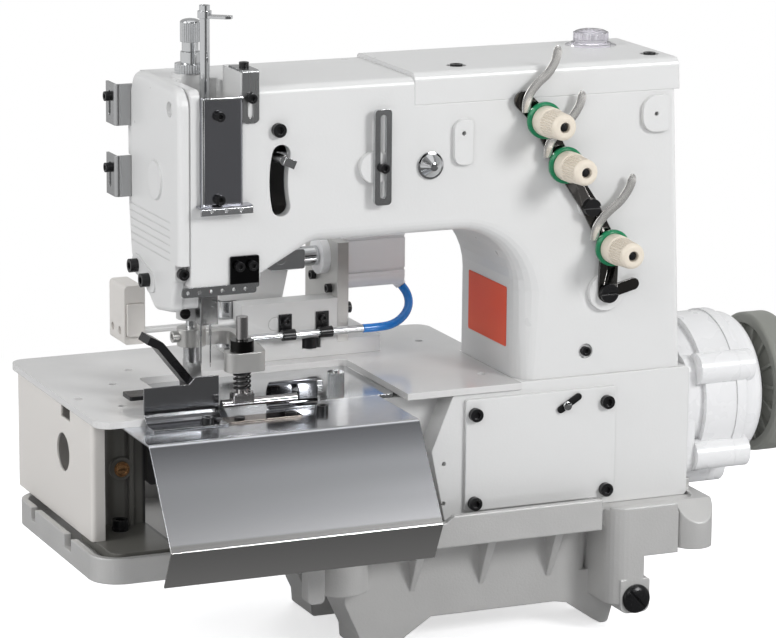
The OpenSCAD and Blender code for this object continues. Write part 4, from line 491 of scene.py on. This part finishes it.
# ---- Loop guard, chute and folder ----
# The guard is one sheet of stainless steel, folded along its front edge and brushed lengthways. The chute wall is bent
# from the same sheet and polished; its colour is darkened as a painted dark reflection, with painted highlights on its
# edges. The folder's parts are blackened.
# The tint by height is painted reflection: the lower return darkens towards its fold, a bright band marks the fold, the
# front face darkens from there towards its top, and the top is bright.
guard_steel_painted_reflection = finish_of("guard_steel_painted_reflection", (0.9, 0.91, 0.93), 0.2, metal=1.0, grain=900, wave=20, bump=0.02,
                        radius=0.0006, stretch=(0.04, 1, 1),
                        tint=("Z", [(-99, (0.9, 0.88, 0.85)), (-67, (0.62, 0.61, 0.59)), (-65.5, (0.90, 0.90, 0.91)),
                                    (-30, (0.62, 0.625, 0.64)), (-7, (0.34, 0.345, 0.36)), (-5.8, (0.85, 0.86, 0.88))]))
dress(["loop_guard"], guard_steel_painted_reflection)
dark_mirror = finish_of("dark_mirror", (0.34, 0.345, 0.36), 0.09, metal=1.0, grain=900, wave=20, bump=0.01,
                        radius=0.0005, rough_drift=0.02, edge=(0.7, 0.7, 0.72), wear_and_painted_edge_light=0.8)
dress(["chute_wall", "folded_guide"], dark_mirror)
bronze_mirror = finish_of("dark_bronze", (0.22, 0.19, 0.17), 0.12, metal=1.0, grain=900, wave=20, bump=0.01,
                          radius=0.0005, rough_drift=0.02, edge=(0.7, 0.65, 0.6), wear_and_painted_edge_light=0.8)
dress(["roller_plate"], bronze_mirror)
# The tint and the edge colour are painted light: the lip at the foot stays bright, the plate above is darkened as
# painted reflection, a little more towards the top, and the edges are lightened as painted highlights.
cover_steel_painted_light = finish_of("cover_steel_painted_light", (0.82, 0.83, 0.85), 0.16, metal=1.0, grain=900, wave=20, bump=0.01,
                        radius=0.0006, rough_drift=0.02, edge=(0.9, 0.9, 0.9), wear_and_painted_edge_light=0.9,
                        tint=("Z", [(143, (1, 1, 1)), (147, (1, 1, 1)), (148, (0.50, 0.50, 0.53)),
                                    (225, (0.44, 0.44, 0.46))]))
dress(["needle_bar_cover"], cover_steel_painted_light)
dress(["folder"], black_metal)

# ---- Arm and covers ----
# The arm is cast with its column and sprayed white over a slight orange peel. The top cover, the face
# cover and the air lift's bracket and lever are sprayed with it, so they match.
dress(["arm_casting", "arm_top_cover", "face_cover", "rear_bracket", "lift_lever"], white_paint)
brushed = finish_of("brushed_steel", (0.46, 0.465, 0.47), 0.27, metal=1.0, grain=1200, wave=50, bump=0.06,
                    radius=0.0005, stretch=(1, 1, 0.06), edge=(0.75, 0.75, 0.76), wear_and_painted_edge_light=0.5)
dress(["face_brackets", "corner_thread_bracket", "needle_clamp", "presser_foot", "needle_link"], brushed)
arm_steel = finish_of("milled_steel", (0.58, 0.575, 0.56), 0.36, metal=0.75, grain=1200, wave=60, bump=0.05,
                      radius=0.0008, edge=(0.8, 0.8, 0.8), wear_and_painted_edge_light=0.5)
dress(["presser_arm"], arm_steel)
dress(["plunger_spring"], black_metal)
glass = finish_of("sight_glass", (0.86, 0.84, 0.90), 0.06, grain=900, bump=0.01, Transmission_Weight=0.85, IOR=1.49)
dress(["oil_sight_glass"], glass)
strip_metal = finish_of("guide_strip", (0.60, 0.61, 0.62), 0.16, metal=1.0, grain=900, wave=60, bump=0.10,
                        radius=0.0003, tint=("Z", [(90, (1, 1, 1)), (91, (1, 1, 1)), (91.3, (0.04, 0.04, 0.042)),
                        (120, (0.04, 0.04, 0.042))]))
dress(["thread_guide_bar"], strip_metal)
plunger_metal = finish_of("plunger_steel", (0.42, 0.41, 0.41), 0.16, metal=1.0, grain=1500, wave=60, bump=0.02,
                          radius=0.0004, rough_drift=0.04, tint=("Z", [(44, (1, 1, 1)), (44.9, (1, 1, 1)),
                          (45.1, (0.05, 0.05, 0.05)), (53.5, (0.05, 0.05, 0.05)), (53.7, (1, 1, 1)), (60, (1, 1, 1))]))
dress(["roller_plunger"], plunger_metal)

# ---- Folds of the needle bar cover ----
# The cover's sheet is turned over along its left side and its top. The two folds are bright chrome, while the plate
# between them is dark from a painted reflection in its colour.
FOLD_WIDE, FOLD_THICK = 0.0018, 0.0016
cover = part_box("needle_bar_cover")
edge_x, top_z, face_y = at(-17.1, 0, 0).x, cover[1][2] - 0.0009, at(0, -41.6, 0).y


def capsule(name, start, end, wide, thick, back):
    """A flat bar with round ends between two places of the front, standing out from its back plane."""
    way = Vector((end[0] - start[0], 0, end[1] - start[1]))
    bpy.ops.object.select_all(action="DESELECT")
    bpy.ops.mesh.primitive_cylinder_add(vertices=32, radius=wide / 2, depth=thick, rotation=(math.pi / 2, 0, 0),
                                        location=(start[0], back - thick / 2, start[1]))
    bar = bpy.context.object
    bar.name = name
    settle()
    for corner in bar.data.vertices:
        corner.select = (corner.co - Vector((start[0], corner.co.y, start[1]))).dot(way) > 0
    for group in (bar.data.edges, bar.data.polygons):
        for part in group:
            part.select = False
    bpy.ops.object.mode_set(mode="EDIT")
    bpy.ops.mesh.select_mode(type="VERT")
    bpy.ops.transform.translate(value=way)
    bpy.ops.object.mode_set(mode="OBJECT")
    return bar


def round_off(piece, width, angle=40):
    """Breaks the sharp edges of a piece and shades it smooth between them."""
    bpy.ops.object.select_all(action="DESELECT")
    piece.select_set(True)
    bpy.context.view_layer.objects.active = piece
    if width:
        edge = piece.modifiers.new("edge", "BEVEL")
        edge.width = width
        edge.segments = 2
        edge.limit_method = "ANGLE"
        edge.angle_limit = math.radians(angle)
        bpy.ops.object.modifier_apply(modifier=edge.name)
    bpy.ops.object.shade_smooth_by_angle(angle=math.radians(angle))


def fix_to(piece, body, nodes, finish):
    """Gives a piece its body, its material and the CAD nodes it stands for."""
    piece.data.materials.clear()
    piece.data.materials.append(finish)
    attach(piece, body)
    if nodes:
        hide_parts(*nodes)


for name, start, end in (("cover_fold_left", (edge_x, at(0, 0, 149).z), (edge_x, top_z)),
                         ("cover_fold_top", (edge_x + 0.0019, top_z), (at(12.1, 0, 0).x, top_z))):
    fold = capsule(name, start, end, FOLD_WIDE, FOLD_THICK, face_y)
    round_off(fold, 0.0005)
    fix_to(fold, "machine", [], chrome)

# ---- Plunger spring ----
# A compression spring of 1.6 mm black wire around the plunger, between its washer and the arm's block.
# It is cold coiled with open ends.
WIRE_R, TURNS, STEPS_A_TURN = 0.0008, 4, 28
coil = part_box("plunger_spring")
coil_r = (coil[1][0] - coil[0][0]) / 2 - WIRE_R
coil_h = coil[1][2] - coil[0][2] - 2 * WIRE_R
coil_at = Vector(((coil[0][0] + coil[1][0]) / 2, (coil[0][1] + coil[1][1]) / 2, coil[0][2] + WIRE_R))
bpy.ops.object.select_all(action="DESELECT")
bpy.ops.mesh.primitive_circle_add(vertices=10, radius=WIRE_R, rotation=(math.pi / 2, 0, 0), location=(coil_r, 0, 0))
spring = bpy.context.object
spring.name = "coil_spring"
settle()
turn = spring.modifiers.new("coil", "SCREW")
turn.angle = math.radians(360 * TURNS)
turn.screw_offset = coil_h
turn.steps = turn.render_steps = TURNS * STEPS_A_TURN
turn.use_merge_vertices = False
bpy.ops.object.modifier_apply(modifier=turn.name)
bpy.ops.object.mode_set(mode="EDIT")
bpy.ops.mesh.select_mode(type="EDGE")
bpy.ops.mesh.select_all(action="DESELECT")
bpy.ops.mesh.select_non_manifold(extend=False)
bpy.ops.mesh.edge_face_add()
bpy.ops.mesh.select_all(action="SELECT")
bpy.ops.mesh.normals_make_consistent(inside=False)
bpy.ops.object.mode_set(mode="OBJECT")
spring.location = coil_at
settle()
round_off(spring, 0, 60)
fix_to(spring, "presser", ["plunger_spring"], black_metal)
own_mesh(spring)

# ---- Folded guide ----
# The guide that turns the strip's edge over: one sheet of polished steel, half rolled around a mandrel,
# standing on the loop guard with its mouth towards the front.
GUIDE_SHEET = 0.0008
# The sheet's way round the mandrel: back and up in millimetres, and how far it narrows
GUIDE_STEPS = ((2.5, 0.2, 1), (1.6, 0.8, 1), (0.9, 1.6, 1), (0.3, 2.4, 1), (0, 3.4, 1), (0, 3.6, 0.99),
               (-0.3, 3.4, 0.98), (-0.8, 2.4, 0.98), (-1.4, 1.6, 0.98), (-1.9, 0.7, 0.98), (-1.6, -0.4, 1))
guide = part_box("folded_guide")
guide_w = guide[1][0] - guide[0][0]
bpy.ops.object.select_all(action="DESELECT")
bpy.ops.mesh.primitive_plane_add(size=1, location=((guide[0][0] + guide[1][0]) / 2, guide[0][1] + 0.001,
                                                   guide[0][2] + 0.0004))
rolled = bpy.context.object
rolled.name = "rolled_guide"
rolled.scale = (guide_w - 0.004, 0.002, 1)
settle()
rear = max(v.co.y for v in rolled.data.vertices)
for part in list(rolled.data.polygons) + list(rolled.data.edges):
    part.select = False
for corner in rolled.data.vertices:
    corner.select = corner.co.y > rear - 0.0001
bpy.ops.object.mode_set(mode="EDIT")
bpy.ops.mesh.select_mode(type="VERT")
for back, up, narrow in GUIDE_STEPS:
    bpy.ops.mesh.extrude_region_move(TRANSFORM_OT_translate={"value": (0, back / 1000, up / 1000)})
    bpy.ops.transform.resize(value=(narrow, 1, 1))
bpy.ops.object.mode_set(mode="OBJECT")
wall = rolled.modifiers.new("sheet", "SOLIDIFY")
wall.thickness = GUIDE_SHEET
wall.offset = 1
bpy.ops.object.modifier_apply(modifier=wall.name)
round_off(rolled, 0.0002, 50)
# Its colour is the chute wall's: darkened as painted dark reflection, with painted highlights on its edges.
fix_to(rolled, "machine", ["folded_guide"], dark_mirror)

# ---- Air lift ----
# A bought cylinder of drawn aluminium, anodised, stands on a milled steel plate; its colour is raised to near white
# with little metal, a painted reflection of bright light from the front on the pale metal.
# A straight steel tube, held by two clips on the bracket, brings its air.
pale_painted_sheen_aluminium = finish_of("anodised", (0.90, 0.90, 0.91), 0.36, metal=0.1, grain=1500, wave=50, bump=0.04, radius=0.0005,
                  stretch=(0.05, 1, 1))
dress(["cylinder_body"], pale_painted_sheen_aluminium)
dress(["cylinder_plate"], arm_steel)
tube_steel = finish_of("tube_steel", (0.60, 0.61, 0.62), 0.26, metal=1.0, grain=400, wave=8, bump=0.0, radius=0.0004,
                       rough_drift=0.02)
dress(["air_tube"], tube_steel)

# ---- Thread tensions ----
# Three posts carry chromed discs and a green dial ring each. Their bracket is one plate with three bends,
# blanked, blackened and polished; a slotted screw and a cap screw hold it on the column's front.
PLATE_THICK, BORE_D = 0.002, 0.0064
POST_D, POST_LONG = 0.005, 0.036
green = finish_of("green_plastic", (0.01, 0.20, 0.085), 0.25, grain=900, bump=0.02, Coat_Weight=0.3)
dress(["tension_rings"], green)
posts = [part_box("tension_knob_%d" % i) for i in (1, 2, 3)]
post_at = [((box[0][0] + box[1][0]) / 2, (box[0][2] + box[1][2]) / 2) for box in posts]
plate_y = at(0, -42, 0).y
ring_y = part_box("tension_rings")[0][1]


def combine(piece, other, operation):
    """Joins another solid to a piece, or cuts it out of it, and removes it."""
    step = piece.modifiers.new("step", "BOOLEAN")
    step.operation = operation
    step.solver = "EXACT"
    step.object = other
    bpy.context.view_layer.objects.active = piece
    bpy.ops.object.modifier_apply(modifier=step.name)
    bpy.data.objects.remove(other)


def disc(name, spot, wide, thick, back):
    """A round flat piece at a place of the front: a capsule of next to no length."""
    return capsule(name, spot, (spot[0], spot[1] + 0.00001), wide, thick, back)


screw_at = (at(283, 0, 0).x, at(0, 0, 128).z)
foot_at = (at(298.8, 0, 0).x, at(0, 0, 62.5).z)
bends = [(at(228, 0, 0).x, at(0, 0, 209.5).z), post_at[0], post_at[1], screw_at, post_at[2], foot_at,
         (foot_at[0] + 0.021, foot_at[1] + 0.005)]
widths = [0.014, 0.0145, 0.0135, 0.0135, 0.015, 0.009]
bars = [capsule("bar", start, end, wide, PLATE_THICK, plate_y) for start, end, wide in zip(bends, bends[1:], widths)]
bars += [disc("post", spot, POST_D, POST_LONG, plate_y) for spot in post_at]
bracket = bars[0]
for bar in bars[1:]:
    combine(bracket, bar, "UNION")
bracket.name = "tension_plate"
bpy.ops.object.select_all(action="DESELECT")
for place in (screw_at, foot_at):
    combine(bracket, disc("drill", place, BORE_D, 0.02, plate_y + 0.01), "DIFFERENCE")
round_off(bracket, 0.0003)
tension_black = finish_of("tension_black", (0.10, 0.095, 0.09), 0.16, metal=1.0, grain=1200, bump=0.03,
                          radius=0.0004, edge=(0.5, 0.5, 0.5), wear_and_painted_edge_light=0.7)
fix_to(bracket, "machine", ["tension_bracket"], tension_black)

# ---- Thread hooks of the tensions ----
# A spring-steel strip at each post, blanked, curled over a former and nickel plated. It stands up beside
# the discs and ends in a rounded tip, and the thread is laid behind it.
HOOK_WIDE, HOOK_THICK = 0.0036, 0.0007    # half the strip's width and thickness
TIP = (0.35, 0.72, 0.92)                  # how far the last points narrow towards the rounded tip
# The strip's curve from its post, sideways and up in millimetres
hook_marks = [(-13.4, 6), (-13.2, 13.5), (-10, 20.9), (-4, 27.6), (3, 33.4), (8, 40.5), (10.6, 47.5), (10.4, 53.5)]
# The hooks' edges are coloured near black as painted shade, leaving the strip bright in the middle.
nickel_with_painted_edge_shade = finish_of("nickel_plate_painted_edge_shade", (0.80, 0.785, 0.76), 0.24, metal=0.8, grain=1500, wave=80, bump=0.03,
                   radius=0.0003, rough_drift=0.05, edge=(0.08, 0.08, 0.08), wear_and_painted_edge_light=0.5)
for i, (spot, lean) in enumerate(zip(post_at, (0, 2.6, 6))):
    bpy.ops.object.select_all(action="DESELECT")
    bpy.ops.curve.primitive_bezier_circle_add(radius=1)
    section = bpy.context.object
    section.data.resolution_u = 4
    section.scale = (HOOK_WIDE, HOOK_THICK, 1)
    bpy.ops.object.transform_apply(location=False, rotation=False, scale=True)
    strip = bpy.data.curves.new("thread_hook_%d" % (i + 1), "CURVE")
    strip.dimensions = "2D"
    strip.fill_mode = "NONE"
    strip.bevel_mode = "OBJECT"
    strip.bevel_object = section
    strip.use_fill_caps = True
    marks = [Vector((x + lean * max(z - 10, 0) / 44, z, 0)) / 1000 for x, z in hook_marks]
    line = smooth_line(marks, 4)
    run = strip.splines.new("POLY")
    run.points.add(len(line) - 1)
    for k, (mark, place) in enumerate(zip(run.points, line)):
        mark.co = (*place, 1)
        left = len(line) - 1 - k
        mark.radius = TIP[left] if left < len(TIP) else 1
    hook = bpy.data.objects.new("thread_hook_%d" % (i + 1), strip)
    bpy.context.scene.collection.objects.link(hook)
    bpy.ops.object.select_all(action="DESELECT")
    hook.select_set(True)
    bpy.context.view_layer.objects.active = hook
    bpy.ops.object.convert(target="MESH")
    hook = bpy.context.object
    bpy.data.objects.remove(section)
    hook.rotation_euler = (math.pi / 2, 0, 0)
    hook.location = (spot[0], ring_y + 0.0045, spot[1])
    settle()
    bpy.ops.object.mode_set(mode="EDIT")
    bpy.ops.mesh.select_all(action="SELECT")
    bpy.ops.mesh.remove_doubles(threshold=0.00001)
    bpy.ops.mesh.normals_make_consistent(inside=False)
    bpy.ops.object.mode_set(mode="OBJECT")
    round_off(hook, 0, 50)
    fix_to(hook, "machine", [], nickel_with_painted_edge_shade)

# ---- Tension knobs ----
# Moulded in beige plastic: a smooth collar, then a tapered grip with fine flutes and a bored, rounded
# end. Each is threaded on its post and turns there to set the pressure on the discs.
beige = finish_of("beige_plastic", (0.72, 0.65, 0.55), 0.35, grain=1200, bump=0.03, drift=0.015)
FLUTE_SIDES, COLLAR_LONG = 60, 0.0105
knob_y = posts[0][1][1]
knob_long = posts[0][1][1] - posts[0][0][1]
# From the collar's end: how far each ring of the grip rises and how much it grows, and last the bore
rings = ((0.0006, 0.93), (0.0006, 0.985), (0.0008, 1.04), (knob_long - 0.0157, 0.92), (0.0012, 0.975),
         (0.0012, 0.90), (0.0008, 0.84), (0.0, 0.55), (-0.0045, 0.97))
collar_d = posts[0][1][0] - posts[0][0][0]
bpy.ops.object.select_all(action="DESELECT")
bpy.ops.mesh.primitive_cylinder_add(vertices=FLUTE_SIDES, radius=collar_d / 2, depth=COLLAR_LONG,
                                    location=(0, 0, COLLAR_LONG / 2))
pattern = bpy.context.object


def choose(piece, test):
    """Selects the faces whose centre and normal pass a test, and leaves the piece in edit mode."""
    bpy.ops.object.mode_set(mode="OBJECT")
    for part in list(piece.data.vertices) + list(piece.data.edges):
        part.select = False
    for face in piece.data.polygons:
        face.select = test(face.center, face.normal)
    bpy.ops.object.mode_set(mode="EDIT")
    bpy.ops.mesh.select_mode(type="FACE")


settle()
choose(pattern, lambda place, way: way.z > 0.9)
for rise, grow in rings:
    bpy.ops.mesh.extrude_region_move(TRANSFORM_OT_translate={"value": (0, 0, rise)})
    bpy.ops.transform.resize(value=(grow, grow, 1), center_override=(0, 0, 0))
grip_from, grip_to = 0.0126, knob_long - 0.0033
choose(pattern, lambda place, way: abs(way.z) < 0.5 and grip_from < place.z < grip_to
       and round(math.degrees(math.atan2(place.y, place.x)) / (360 / FLUTE_SIDES) - 0.5) % 2 == 0)
bpy.ops.mesh.inset(use_individual=True, thickness=0.0002, depth=-0.0008)
bpy.ops.object.mode_set(mode="OBJECT")
round_off(pattern, 0.00015, 30)
for i, (x, z) in enumerate(post_at):
    knob = pattern.copy()
    knob.data = pattern.data.copy()
    knob.name = "knob_grip_%d" % (i + 1)
    bpy.context.scene.collection.objects.link(knob)
    bpy.ops.object.select_all(action="DESELECT")
    knob.select_set(True)
    bpy.context.view_layer.objects.active = knob
    knob.rotation_euler = (math.pi / 2, 0, 0)
    knob.location = (x, knob_y, z)
    settle()
    fix_to(knob, "knob_%d" % (i + 1), ["tension_knob_%d" % (i + 1)], beige)
    end = disc("post_end_%d" % (i + 1), (x, z), 0.0062, 0.002, knob_y - knob_long + 0.0042)
    round_off(end, 0.0004)
    fix_to(end, "machine", [], black_metal)
bpy.data.objects.remove(pattern)

# ---- Caution label ----
# A bare orange foil label with rounded corners, stuck flat on the column's side inside the throat. It
# carries no print here.
LABEL_LONG, LABEL_HIGH, LABEL_THICK = 0.067, 0.045, 0.0002
bpy.ops.object.select_all(action="DESELECT")
bpy.ops.mesh.primitive_plane_add(size=1, rotation=(0, -math.pi / 2, 0), location=at(230.9, 19.5, 43.5))
label = bpy.context.object
label.name = "caution_label"
bpy.ops.object.transform_apply(location=False, rotation=True, scale=True)
label.scale = (1, LABEL_LONG, LABEL_HIGH)
settle()
bpy.ops.object.mode_set(mode="EDIT")
bpy.ops.mesh.select_all(action="SELECT")
bpy.ops.mesh.bevel(offset=0.0015, segments=4, affect="VERTICES")
bpy.ops.mesh.extrude_region_move(TRANSFORM_OT_translate={"value": (-LABEL_THICK, 0, 0)})
bpy.ops.mesh.select_all(action="SELECT")
bpy.ops.mesh.normals_make_consistent(inside=False)
bpy.ops.object.mode_set(mode="OBJECT")
label_ink = finish_of("orange_label", (0.80, 0.075, 0.015), 0.35, grain=900, bump=0.01)
fix_to(label, "machine", [], label_ink)

# ---- Thread clip of the front cover ----
# A small blackened spring clip at the front cover's upper edge, which parks a thread end. A bright
# screw holds it.
clip = capsule("cover_clip", (at(262, 0, 0).x, at(0, 0, -22.5).z), (at(276, 0, 0).x, at(0, 0, -14).z), 0.0055, 0.0016,
               at(0, -43.6, 0).y)
round_off(clip, 0.0004)
fix_to(clip, "machine", [], black_metal)
screw = disc("cover_clip_screw", (at(266.5, 0, 0).x, at(0, 0, -19.7).z), 0.0068, 0.0028, at(0, -45.1, 0).y)
round_off(screw, 0.0009)
fix_to(screw, "machine", [], chrome)

# ---- Bush of the lower arm ----
# A turned bronze bush, pressed into the boss of the lower arm's foot. Only its front face and the
# mouth of its plain bore can be seen.
BUSH_R, BUSH_WALL = 0.0057, 0.0016
bpy.ops.object.select_all(action="DESELECT")
bpy.ops.mesh.primitive_cylinder_add(vertices=48, radius=BUSH_R, depth=0.001, rotation=(math.pi / 2, 0, 0),
                                    location=at(-61, 8.6, -49))
bush = bpy.context.object
bush.name = "arm_bush"
settle()
choose(bush, lambda place, way: way.y < -0.9)
bpy.ops.mesh.inset(thickness=BUSH_WALL)
bpy.ops.mesh.extrude_region_move(TRANSFORM_OT_translate={"value": (0, 0.0007, 0)})
bpy.ops.object.mode_set(mode="OBJECT")
round_off(bush, 0.0002)
bronze = finish_of("bronze", (0.62, 0.34, 0.16), 0.22, metal=1.0, grain=1200, bump=0.02)
fix_to(bush, "machine", [], bronze)

low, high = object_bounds()
